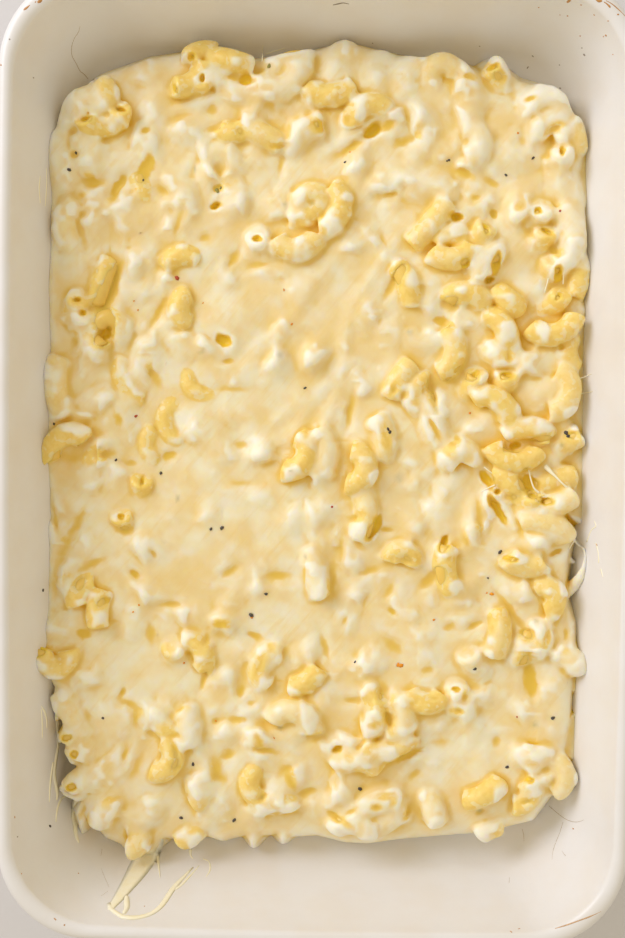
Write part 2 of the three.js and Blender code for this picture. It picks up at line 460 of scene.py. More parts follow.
class DishForm:
    """The dish's outline and profile, worked out from its settings."""

    def __init__(self, dish):
        self.half = np.array([dish.width / 2, dish.length / 2])
        self.height = dish.height
        self.corner = dish.corner
        self.bow = dish.bow
        self.floor = dish.floor
        self.hollow = dish.hollow
        self.slope = math.tan(dish.lean)
        self.lip = dish.wall / 2
        self.lip_base = dish.height - self.lip
        self.bend = math.pi / 2 - dish.lean
        self.wall_end = dish.floor + dish.hollow * (1 - math.cos(self.bend))

    def inner_inset(self, z):
        """How far the inner surface is set in from the rim's outline, at a height."""
        wall = 2 * self.lip + (self.lip_base - z) * self.slope
        end = 2 * self.lip + (self.lip_base - self.wall_end) * self.slope
        drop = np.clip(1 - (z - self.floor) / self.hollow, -1, 1)
        turn = np.arccos(drop)
        fillet = end + self.hollow * (math.sin(self.bend) - np.sin(turn))
        return np.where(z >= self.wall_end, wall, fillet)

    def outer_inset(self, z):
        """How far the outer surface is set in from the rim's outline, at a height."""
        return (self.lip_base - z) * self.slope

    def outline_distance(self, x, y):
        """Distance outside the rim's outline seen from above, less than 0 inside it."""
        half_x, half_y = self.half - self.bow
        bow_x = self.bow * (1 - np.clip(y / half_y, -1, 1) ** 2)
        bow_y = self.bow * (1 - np.clip(x / half_x, -1, 1) ** 2)
        qx = np.abs(x) - bow_x - (half_x - self.corner)
        qy = np.abs(y) - bow_y - (half_y - self.corner)
        outside = np.hypot(np.maximum(qx, 0), np.maximum(qy, 0))
        return outside + np.minimum(np.maximum(qx, qy), 0) - self.corner

    def ring_scale(self, inset):
        """How much narrower and shorter the rim's outline is when it is set in."""
        return 1 - inset / self.half[0], 1 - inset / self.half[1]

    def cavity_distance(self, x, y, z, grow):
        """Distance outside the space in the dish, which is made larger by grow."""
        inset = self.inner_inset(np.maximum(z, self.floor)) - grow
        sx, sy = self.ring_scale(inset)
        side = self.outline_distance(x / sx, y / sy) * np.minimum(sx, sy) * math.sin(self.bend)
        return np.maximum(side, self.floor - grow - z)


def dish_profile(form, dish):
    """The dish's section as (inset, height), from the foot up, over the lip and down inside."""
    foot = form.outer_inset(dish.foot_round) + dish.foot_round
    profile = [
        (foot + dish.foot_width + dish.foot_recess, dish.foot_recess),
        (foot + dish.foot_width, 0.0),
    ]
    foot_steps, lip_steps, wall_steps, hollow_steps = 5, 12, 3, 9
    for i in range(foot_steps + 1):
        turn = form.bend * i / foot_steps
        profile.append((foot - dish.foot_round * math.sin(turn), dish.foot_round * (1 - math.cos(turn))))
    base = profile[-1][1]
    for i in range(1, wall_steps):
        z = base + (form.lip_base - base) * i / wall_steps
        profile.append((form.outer_inset(z), z))
    for i in range(lip_steps + 1):
        turn = math.pi * i / lip_steps
        profile.append((form.lip * (1 - math.cos(turn)), form.lip_base + form.lip * math.sin(turn)))
    for i in range(1, wall_steps):
        z = form.lip_base + (form.wall_end - form.lip_base) * i / wall_steps
        profile.append((float(form.inner_inset(z)), z))
    for i in range(hollow_steps + 1):
        turn = form.bend * (1 - i / hollow_steps)
        z = form.floor + form.hollow * (1 - math.cos(turn))
        profile.append((float(form.inner_inset(z)), z))
    return profile


def model_dish(form, dish):
    """Draws the rim's outline, then extrudes it ring by ring along the profile."""
    clean_slate()
    profile = dish_profile(form, dish)
    bpy.ops.mesh.primitive_plane_add(size=1, location=(0, 0, profile[0][1]))
    ob = bpy.context.object
    ob.name = ob.data.name = "stoneware_dish"
    bpy.ops.object.transform_apply(location=True, rotation=False, scale=False)
    bpy.ops.object.mode_set(mode="EDIT")
    half_x, half_y = form.half - form.bow
    bpy.ops.transform.resize(value=(2 * half_x, 2 * half_y, 1), center_override=(0, 0, 0))
    bpy.ops.mesh.bevel(offset=form.corner, offset_type="OFFSET", segments=14, affect="VERTICES")
    # Only the four straight sides are longer than a corner's segments.
    bpy.ops.mesh.select_all(action="DESELECT")
    bpy.ops.object.mode_set(mode="OBJECT")
    for edge in ob.data.edges:
        a, b = (ob.data.vertices[i].co for i in edge.vertices)
        edge.select = (a - b).length > form.corner
    bpy.ops.object.mode_set(mode="EDIT")
    bpy.ops.mesh.subdivide(number_cuts=11)
    bpy.ops.object.mode_set(mode="OBJECT")
    for vertex in ob.data.vertices:
        x, y = vertex.co.x, vertex.co.y
        vertex.co.x += form.bow * (x / half_x) * (1 - (y / half_y) ** 2)
        vertex.co.y += form.bow * (y / half_y) * (1 - (x / half_x) ** 2)
    bpy.ops.object.mode_set(mode="EDIT")
    bpy.ops.mesh.select_all(action="SELECT")
    old = form.ring_scale(profile[0][0])
    bpy.ops.transform.resize(value=(*old, 1), center_override=(0, 0, 0))
    for (_, z0), (inset, z) in zip(profile, profile[1:]):
        new = form.ring_scale(inset)
        bpy.ops.mesh.extrude_region_move(TRANSFORM_OT_translate={"value": (0, 0, z - z0)})
        bpy.ops.transform.resize(
            value=(new[0] / old[0], new[1] / old[1], 1), center_override=(0, 0, z)
        )
        old = new
    bpy.ops.mesh.select_all(action="SELECT")
    bpy.ops.mesh.normals_make_consistent(inside=False)
    bpy.ops.object.mode_set(mode="OBJECT")
    bpy.ops.object.shade_smooth_by_angle(angle=math.radians(50))
    return ob


# ------------------------------------------------------------------ fields


def smooth_min(a, b, k):
    """The lesser of two distances, with the corner between them rounded over k."""
    h = np.clip(0.5 + 0.5 * (b - a) / k, 0, 1)
    return b * (1 - h) + a * h - k * h * (1 - h)


def smooth_max(a, b, k):
    """The greater of two distances, with the corner between them rounded over k."""
    return -smooth_min(-a, -b, k)


def value_noise(x, y, grain, seed):
    """Smooth noise from -1 to 1 over a plane, with grains of a given size."""
    rng = np.random.default_rng(seed)
    size = 256
    table = rng.uniform(-1, 1, (size, size))
    u, v = x / grain + 97.3, y / grain + 31.7
    i, j = np.floor(u).astype(int), np.floor(v).astype(int)
    fu, fv = u - i, v - j
    fu, fv = fu * fu * (3 - 2 * fu), fv * fv * (3 - 2 * fv)
    corner = [[table[(i + a) % size, (j + b) % size] for b in (0, 1)] for a in (0, 1)]
    low = corner[0][0] * (1 - fv) + corner[0][1] * fv
    high = corner[1][0] * (1 - fv) + corner[1][1] * fv
    return low * (1 - fu) + high * fu


def rough_noise(x, y, grain, seed, octaves=3):
    """Value noise with finer layers on top, still from about -1 to 1."""
    total, weight = 0.0, 0.0
    for i in range(octaves):
        share = 0.5**i
        total = total + share * value_noise(x, y, grain * 0.5**i, seed + 17 * i)
        weight += share
    return total / weight


def line_distance(points, x, y):
    """Distance from each place to a chain of points, seen from above."""
    best = np.full(np.broadcast(x, y).shape, 1e3)
    for (ax, ay), (bx, by) in zip(points, points[1:]):
        dx, dy = bx - ax, by - ay
        t = np.clip(((x - ax) * dx + (y - ay) * dy) / (dx * dx + dy * dy), 0, 1)
        best = np.minimum(best, np.hypot(x - ax - t * dx, y - ay - t * dy))
    return best


def inside_loop(points, x, y):
    """True for the places inside a closed chain of points."""
    found = np.zeros(np.broadcast(x, y).shape, bool)
    for (ax, ay), (bx, by) in zip(points, points[1:] + points[:1]):
        if ay == by:
            continue
        crosses = ((ay > y) != (by > y)) & (x < (bx - ax) * (y - ay) / (by - ay) + ax)
        found ^= crosses
    return found


def bell(x, y, centre, radius):
    """From 1 at a centre seen from above down to 0 far away from it."""
    return np.exp(-((x - centre[0]) ** 2 + (y - centre[1]) ** 2) / radius**2)


def opened(axes):
    """Coordinates along three axes, shaped to be combined into a block."""
    return axes[0][:, None, None], axes[1][None, :, None], axes[2][None, None, :]


class Grid:
    """A block of evenly spaced samples."""

    def __init__(self, low, high, step):
        self.low = np.array(low, float)
        self.step = step
        self.shape = tuple(np.ceil((np.array(high) - self.low) / step).astype(int) + 1)
        self.axes = [self.low[i] + step * np.arange(self.shape[i]) for i in range(3)]

    def box(self, low, high):
        """The samples between two corners: their slices and open coordinates."""
        slices = []
        for i in range(3):
            first = int(math.floor((low[i] - self.low[i]) / self.step))
            last = int(math.ceil((high[i] - self.low[i]) / self.step)) + 1
            slices.append(slice(max(first, 0), max(min(last, self.shape[i]), 0)))
        return tuple(slices), opened([axis[s] for axis, s in zip(self.axes, slices)])

    def sample(self, values, points):
        """Values between the samples, by straight interpolation."""
        at = np.clip((points - self.low) / self.step, 0, np.array(self.shape) - 1.001)
        i = at.astype(int)
        f = at - i
        total = 0.0
        for dx in (0, 1):
            for dy in (0, 1):
                for dz in (0, 1):
                    share = (
                        (f[:, 0] if dx else 1 - f[:, 0])
                        * (f[:, 1] if dy else 1 - f[:, 1])
                        * (f[:, 2] if dz else 1 - f[:, 2])
                    )
                    total = total + share * values[i[:, 0] + dx, i[:, 1] + dy, i[:, 2] + dz]
        return total


def blurred(values, reach, passes=2):
    """Values averaged over a cube that reaches a number of samples each way."""
    for _ in range(passes):
        for axis in range(3):
            line = [-1 if i == axis else 1 for i in range(3)]
            total = np.cumsum(values, axis=axis)
            size = values.shape[axis]
            high = np.minimum(np.arange(size) + reach, size - 1)
            low = np.arange(size) - reach - 1
            before = np.where(
                (low >= 0).reshape(line),
                np.take(total, np.maximum(low, 0), axis=axis),
                0.0,
            )
            count = (high - np.maximum(low, -1)).reshape(line)
            values = (np.take(total, high, axis=axis) - before) / count
    return values


CORNERS = [(a, b, c) for a in (0, 1) for b in (0, 1) for c in (0, 1)]
EDGES = [
    (p, q)
    for p in range(8)
    for q in range(p + 1, 8)
    if sum(a != b for a, b in zip(CORNERS[p], CORNERS[q])) == 1
]


def corner_views(values):
    """Eight views of a block of samples, each with one corner of every cell."""
    nx, ny, nz = values.shape
    return [values[a : nx - 1 + a, b : ny - 1 + b, c : nz - 1 + c] for a, b, c in CORNERS]


def surface_net(grid, values, skin):
    """The surface where values change sign, as points and quads that face the positive side.

    Quads that lie wholly where skin is true are left out."""
    inside = values < 0
    views = corner_views(inside)
    cells = np.argwhere(np.logical_or.reduce(views) & ~np.logical_and.reduce(views))
    index = np.full(views[0].shape, -1, np.int64)
    index[tuple(cells.T)] = np.arange(len(cells))
    level = np.stack([values[tuple((cells + c).T)] for c in CORNERS], 1)
    total = np.zeros((len(cells), 3))
    count = np.zeros(len(cells))
    for p, q in EDGES:
        cross = (level[:, p] < 0) != (level[:, q] < 0)
        gap = np.where(cross, level[:, p] - level[:, q], 1.0)
        t = np.where(cross, level[:, p] / gap, 0.0)
        start, end = np.array(CORNERS[p]), np.array(CORNERS[q])
        total += cross[:, None] * (start + t[:, None] * (end - start))
        count += cross
    points = grid.low + grid.step * (cells + total / count[:, None])
    quads = []
    for axis in range(3):
        first, second = (axis + 1) % 3, (axis + 2) % 3
        here = [slice(1, -1)] * 3
        here[axis] = slice(0, -1)
        there = list(here)
        there[axis] = slice(1, None)
        a, b = inside[tuple(here)], inside[tuple(there)]
        start = np.argwhere(a != b)
        for other in (first, second):
            start[:, other] += 1
        out = a[a != b]
        ring = []
        for df, ds in ((-1, -1), (0, -1), (0, 0), (-1, 0)):
            cell = start.copy()
            cell[:, first] += df
            cell[:, second] += ds
            ring.append(index[tuple(cell.T)])
        ring = np.stack(ring, 1)
        ring[~out] = ring[~out][:, ::-1]
        quads.append(ring)
    quads = np.concatenate(quads)
    hidden = skin[tuple(cells.T)]
    quads = quads[~hidden[quads].all(1)]
    used, flat = np.unique(quads, return_inverse=True)
    return points[used], flat.reshape(-1, 4)


# ------------------------------------------------------------------ where the food lies

# Places on the food are given as the camera sees them, as points (u, v) across and down a
# view that is VIEW wide and high. One unit of it, UNIT, is about 0.37 mm on the food.
VIEW = (625, 938)
EYE = (0.0068, 0.0207, 0.568)
EYE_TURN = (math.radians(-2.49), math.radians(0.91), math.radians(0.67))
LENS, SENSOR = 55.75, 36.0
SIGHT = np.array(Euler(EYE_TURN).to_matrix())
FOCUS = VIEW[1] * LENS / SENSOR


def sight_line(u, v):
    """The direction from the eye through a point in view."""
    return SIGHT @ np.array([u - VIEW[0] / 2, VIEW[1] / 2 - v, -FOCUS])


def seen(u, v, z):
    """Where the line of sight through a point in view comes to a height, across and along."""
    ray = sight_line(u, v)
    reach = (z - EYE[2]) / ray[2]
    return EYE[0] + reach * ray[0], EYE[1] + reach * ray[1]


UNIT = (EYE[2] - 28 * MM) / FOCUS

# The food's outline.
FOOD_EDGE = [
    (60, 122), (67, 104), (80, 94), (92, 90), (97, 79), (106, 74), (122, 68), (150, 57), (182, 52),
    (192, 41), (205, 41), (230, 50), (249, 62), (262, 60), (300, 55), (330, 45), (345, 40),
    (370, 47), (400, 55), (430, 62), (447, 58), (480, 70), (492, 60), (506, 68), (520, 80),
    (550, 90), (563, 100), (571, 120), (582, 130), (586, 148), (579, 172), (585, 200), (586, 240),
    (587, 265), (580, 290), (586, 310), (577, 350), (578, 390), (568, 415), (580, 438), (562, 462),
    (575, 480), (576, 500), (563, 516), (573, 535), (568, 560), (564, 595), (575, 622), (576, 650),
    (583, 666), (573, 678), (570, 720), (564, 752), (572, 770), (565, 790), (550, 798), (533, 823),
    (482, 836), (440, 840), (398, 845), (370, 849), (345, 847), (318, 839), (290, 841), (282, 849),
    (275, 838), (262, 840), (252, 854), (244, 840), (232, 842), (220, 846), (204, 840), (190, 846),
    (165, 843), (150, 860), (130, 865), (118, 850), (103, 842), (94, 828), (86, 821), (79, 838),
    (74, 815), (82, 798), (84, 765), (76, 735), (60, 715), (58, 690), (50, 676), (37, 662),
    (38, 640), (40, 590), (48, 545), (50, 500), (40, 465), (40, 450), (45, 430), (44, 385),
    (50, 355), (46, 290), (50, 230), (48, 200), (50, 160), (53, 135),
]

# Macaroni that shows: a point in view and a height in mm over the sauce for one end, the
# middle and the other end of its centre line, and how thickly the sauce covers it.
ELBOWS = [
    ((85, 118, 4.8), (104, 127, 1), (121, 109, 4.8), 0),
    ((104, 86, 1.6), (107, 97, 2.8), (104, 112, 0), 0.2),
    ((82, 112, 0), (89, 101, 1.4), (98, 110, 0), 1.4),
    ((70, 122, -3.4), (78, 108, -2.2), (96, 98, -2.2), 1.2),
    ((58, 142, -2.5), (62, 164, -0.8), (68, 188, -2.5), 1),
    ((84, 138, -2), (92, 156, -1), (88, 174, -2), 1),
    ((146, 200, -3.6), (143, 190, -2.6), (140, 178, -3), 0),
    ((174, 87, 3.4), (190, 84, 1.4), (206, 62, 1.5), 0.1),
    ((202, 79, 3.4), (200, 86, 0), (188, 96, -3), 0.1),
    ((190, 57, 3.6), (198, 52, 2), (214, 52, 0.5), 0.2),
    ((214, 58, 1.5), (232, 60, 4.2), (246, 65, 2), 0.1),
    ((258, 84, 0), (282, 88, 1), (300, 66, 0.5), 1.1),
    ((274, 70, -1), (290, 60, -0.4), (308, 60, -0.6), 0.9),
    ((308, 91, 0.2), (330, 96, 1.5), (352, 90, 0.2), -0.1),
    ((352, 124, -1), (364, 106, 0.6), (384, 110, -0.8), 0.2),
    ((290, 150, -3), (300, 136, -0.5), (319, 125, 0.8), 0.8),
    ((246, 128, -0.4), (262, 134, 0.6), (278, 144, -0.6), 0.3),
    ((222, 130, -1.2), (232, 134, -0.6), (244, 130, -1.2), 0.1),
    ((230, 184, 0.6), (235, 188, -3.5), (246, 190, -6), 0.4),
    ((436, 86, -1.5), (440, 64, 0.6), (454, 76, -1), 0.5),
    ((492, 66, 2.6), (497, 74, 0.4), (500, 88, -2.5), 0.3),
    ((470, 160, -1), (480, 142, 0.3), (468, 128, -1), 0.8),
    ((530, 112, -1), (545, 98, 0.8), (560, 112, -1), 1),
    ((540, 138, -1.5), (556, 124, 0), (560, 140, -1.5), 1),
    ((576, 150, -2.2), (575, 138, -0.8), (569, 126, -0.2), 0.4),
    ((562, 150, 2.6), (560, 158, 0), (546, 166, -3.5), 0.3),
    ((74, 206, -1), (66, 222, 0.6), (73, 244, -1.4), 0.6),
    ((79, 299, 2.6), (76, 306, -0.5), (68, 318, -4), 0.3),
    ((84, 313, 2.8), (82, 321, -0.5), (80, 334, -4), 0.3),
    ((112, 262, -2), (103, 284, -0.4), (98, 304, -2), 0),
    ((102, 350, 2.6), (92, 340, 0.4), (80, 324, -2), 0.2),
    ((98, 328, -0.4), (108, 318, 0.4), (116, 338, -1.6), 0.5),
    ((168, 264, -2), (180, 257, -0.8), (194, 258, -2), 0),
    ((186, 322, -1.4), (179, 308, 0.2), (186, 296, -1.4), 0.2),
    ((258, 237, 1.8), (257, 244, -1.5), (250, 254, -5), 0.8),
    ((276, 243, 0.3), (297, 250, 1.2), (316, 238, 0), 0.35),
    ((322, 228, 0.3), (339, 214, 1.6), (334, 188, 0.3), 0.15),
    ((302, 206, -0.8), (312, 194, 0.4), (323, 206, -0.8), 0.3),
    ((294, 218, -1.2), (310, 214, -0.2), (322, 200, -1.2), 0.2),
    ((398, 268, -1), (407, 284, 0.2), (412, 302, -1.4), 0.2),
    ((446, 206, 0), (430, 226, 1.2), (413, 244, 0), 0.3),
    ((436, 242, -0.4), (450, 236, 0.2), (464, 246, -0.4), 0),
    ((434, 253, 1), (452, 259, 2.6), (470, 249, 1.4), 0.15),
    ((486, 227, 2.4), (480, 237, 0.4), (472, 254, -2.4), 0.3),
    ((543, 209, 2.4), (540, 215, -0.2), (528, 222, -3.5), 0.3),
    ((546, 232, 2.4), (542, 240, -0.2), (530, 250, -3.5), 0.4),
    ((562, 212, 0), (573, 238, 1.4), (558, 264, 0.2), 1),
    ((554, 262, 1.8), (551, 268, -0.6), (542, 276, -4), 0.4),
    ((572, 254, -2), (579, 272, -1), (574, 294, -2), 0),
    ((480, 274, -0.4), (484, 260, 1), (498, 254, 0), 0.8),
    ((448, 300, -0.8), (468, 293, 1.4), (483, 304, -0.6), 0.3),
    ((499, 293, 0.4), (508, 300, 2.6), (517, 309, 0.8), 0.1),
    ((489, 316, 0.2), (503, 325, 2.6), (508, 345, 0.4), 0.15),
    ((490, 350, -0.6), (501, 357, 1), (512, 356, -0.6), 0.4),
    ((562, 294, 3), (556, 302, 0.6), (540, 308, -2.4), 0.15),
    ((531, 328, 1.8), (555, 334, 3.4), (575, 316, 2.2), 0.05),
    ((572, 336, -2.2), (567, 352, -0.8), (574, 368, -2.2), 0.1),
    ((446, 330, -0.6), (455, 352, 0.8), (442, 374, -0.6), 0.4),
    ((122, 360, -3.4), (124, 384, -2.4), (142, 399, -3.2), -0.1),
    ((58, 360, -1.2), (55, 386, 0.4), (63, 412, -1.2), 0.5),
    ((84, 440, 1.4), (60, 438, 2.6), (52, 460, 1.2), 0.25),
    ((142, 480, 0.9), (142, 487, -1.8), (144, 497, -5.5), 0.1),
    ((121, 516, 0.6), (125, 521, -2), (132, 528, -5), 0.1),
    ((190, 372, -3.4), (192, 387, -2.7), (212, 394, -3.4), -0.1),
    ((176, 402, -3.2), (165, 421, -2.5), (181, 440, -3.4), -0.1),
    ((153, 430, -3.2), (147, 444, -2.6), (157, 460, -3.4), -0.1),
    ((300, 438, 0.6), (306, 456, 2.4), (285, 470, 1), 0.1),
    ((319, 434, 0), (326, 455, 1), (315, 474, 0), 0.7),
    ((354, 451, 0.4), (366, 468, 1.9), (348, 484, 0.8), 0.25),
    ((378, 420, -2), (384, 436, -0.8), (382, 456, -2), 0.5),
    ((410, 366, -0.6), (400, 379, 0.6), (392, 394, -1), 0.3),
    ((362, 494, -0.8), (366, 514, 0.4), (360, 536, -0.8), 0.5),
    ((476, 374, 2.6), (473, 383, 0), (464, 394, -3.2), 0.3),
    ((508, 374, 2.8), (504, 384, 0.2), (492, 394, -3.2), 0.3),
    ((475, 398, 0.8), (502, 402, 2.8), (509, 421, 1), 0.1),
    ((560, 371, 0.2), (570, 392, 1.6), (552, 411, 0.4), 0.35),
    ((579, 436, -1), (570, 440, -1.6), (556, 446, -3.4), 0.3),
    ((508, 433, 0.2), (532, 429, 1.8), (547, 437, 0.4), 0.3),
    ((492, 447, 0.8), (514, 461, 2.7), (537, 451, 1.2), 0.1),
    ((450, 464, -0.4), (461, 450, 1.8), (471, 460, 0), 0.5),
    ((425, 396, -0.6), (433, 418, 0.2), (441, 440, -1.2), 0.9),
    ((418, 404, -1), (414, 390, 0.2), (426, 382, -0.6), 0.3),
    ((496, 474, -0.4), (511, 482, 1.2), (517, 497, -1.4), 0.05),
    ((536, 486, -2.4), (554, 480, -1.4), (573, 476, -2.2), 0.2),
    ((533, 495, 2.8), (529, 503, 0.2), (518, 512, -3), 0.3),
    ((546, 507, 0), (560, 503, 1.6), (571, 497, 0.8), 0.45),
    ((524, 521, 0.2), (548, 523, 2.2), (566, 537, 0.2), 0.45),
    ((92, 583, -0.8), (79, 592, 0.8), (77, 605, 1.8), 0.15),
    ((101, 592, -0.8), (97, 610, 1.5), (97, 627, 2.5), 0.05),
    ((43, 648, 2.8), (54, 666, 1.4), (70, 650, -0.6), 0.2),
    ((172, 647, 1.2), (175, 653, -1.8), (182, 663, -5), 0.4),
    ((187, 640, -1.4), (202, 649, -0.4), (203, 668, -1.6), 0.05),
    ((311, 552, -2.4), (316, 576, 0.2), (322, 594, 0.2), 0.6),
    ((391, 558, -1), (402, 551, 0.4), (411, 561, -1), 0.3),
    ((277, 652, -1.4), (260, 665, 0), (265, 683, -1.4), 0.5),
    ((294, 686, -0.8), (306, 682, 0.6), (317, 671, -0.6), 0.05),
    ((447, 548, -0.2), (444, 568, 1.4), (452, 588, -0.2), 0.2),
    ((508, 558, 2.8), (520, 565, 1.4), (543, 563, 0.6), 0.35),
    ((538, 586, 0), (553, 592, 1.6), (548, 610, -0.2), 0.2),
    ((497, 612, 0), (500, 632, 1.8), (494, 652, 0.2), 0.3),
    ((536, 629, -0.2), (541, 637, 1), (534, 648, -0.4), 0.7),
    ((530, 634, -0.6), (524, 646, 0.4), (519, 660, -1), 0.8),
    ((468, 655, 1.8), (472, 662, -0.8), (481, 672, -4.5), 0.6),
    ((456, 688, 1.6), (458, 695, -1.5), (463, 706, -5), 0.4),
    ((560, 652, -0.4), (572, 660, 0.2), (580, 668, -1), 0.6),
    ((62, 694, -2), (68, 708, -1), (76, 722, -2), 0.6),
    ((67, 737, -2.4), (75, 731, -2.0), (85, 729, -3.0), 0.5),
    ((75, 754, -2.4), (80, 748, -2.6), (89, 744, -4), 0.5),
    ((72, 787, -2.8), (79, 780, -2.8), (88, 776, -4), 0.5),
    ((166, 740, -0.4), (173, 757, 1.6), (154, 771, 0.2), 0.3),
    ((186, 710, -1), (188, 727, 0.6), (187, 740, 0), 0.7),
    ((161, 720, -1.2), (168, 729, -0.2), (178, 733, -1.2), 0.3),
    ((190, 782, -1.6), (199, 792, -0.6), (196, 803, -1.6), 0.3),
    ((131, 830, -1.8), (138, 842, 0.4), (128, 854, 1), 0.4),
    ((198, 832, -2.4), (189, 838, -1.6), (180, 844, -2.4), 0.2),
    ((112, 800, -1.6), (104, 810, -0.4), (96, 822, -1.6), 0.7),
    ((274, 718, -0.6), (298, 712, 1.4), (312, 730, 0), 0.5),
    ((257, 768, -2), (250, 786, -0.6), (264, 799, -2), 0),
    ((367, 692, -0.8), (378, 711, 1.2), (366, 728, -0.4), 0.6),
    ((394, 700, -0.2), (404, 713, 1.2), (390, 731, -0.4), 0.6),
    ((338, 764, -0.6), (358, 760, 1.2), (376, 768, -0.6), 0.3),
    ((364, 747, 1.2), (384, 752, 1.2), (409, 736, 0.2), 0.3),
    ((262, 806, -1.6), (276, 800, -0.4), (290, 804, -1.6), 0.7),
    ((410, 694, -0.4), (424, 703, 1.3), (440, 697, -0.2), 0.2),
    ((452, 700, -1.6), (459, 706, -0.4), (466, 700, -1.6), 0.4),
    ((429, 798, -1.2), (434, 811, 0.6), (436, 822, -0.4), 0.6),
    ((335, 829, -0.6), (352, 823, 0.8), (370, 831, -0.4), 0.95),
    ((354, 815, 0.2), (375, 804, 1.2), (396, 801, 0.4), 0.95),
    ((374, 831, -0.8), (386, 823, 0.4), (403, 812, 0.2), 0.9),
    ((468, 801, 0.6), (484, 796, 2.8), (499, 783, 0.8), 0.1),
    ((527, 780, 2.2), (531, 793, 1), (514, 806, -0.4), 0.3),
    ((543, 772, 1.6), (541, 779, -1), (534, 788, -3.5), 0.5),
    ((556, 762, -0.6), (564, 776, 0.4), (556, 790, -1), 0.5),
    ((522, 750, -1), (531, 757, 0.2), (541, 752, -1), 0.9),
    ((500, 828, -2.2), (490, 831, -1.8), (482, 834, -2.4), 0.3),
]

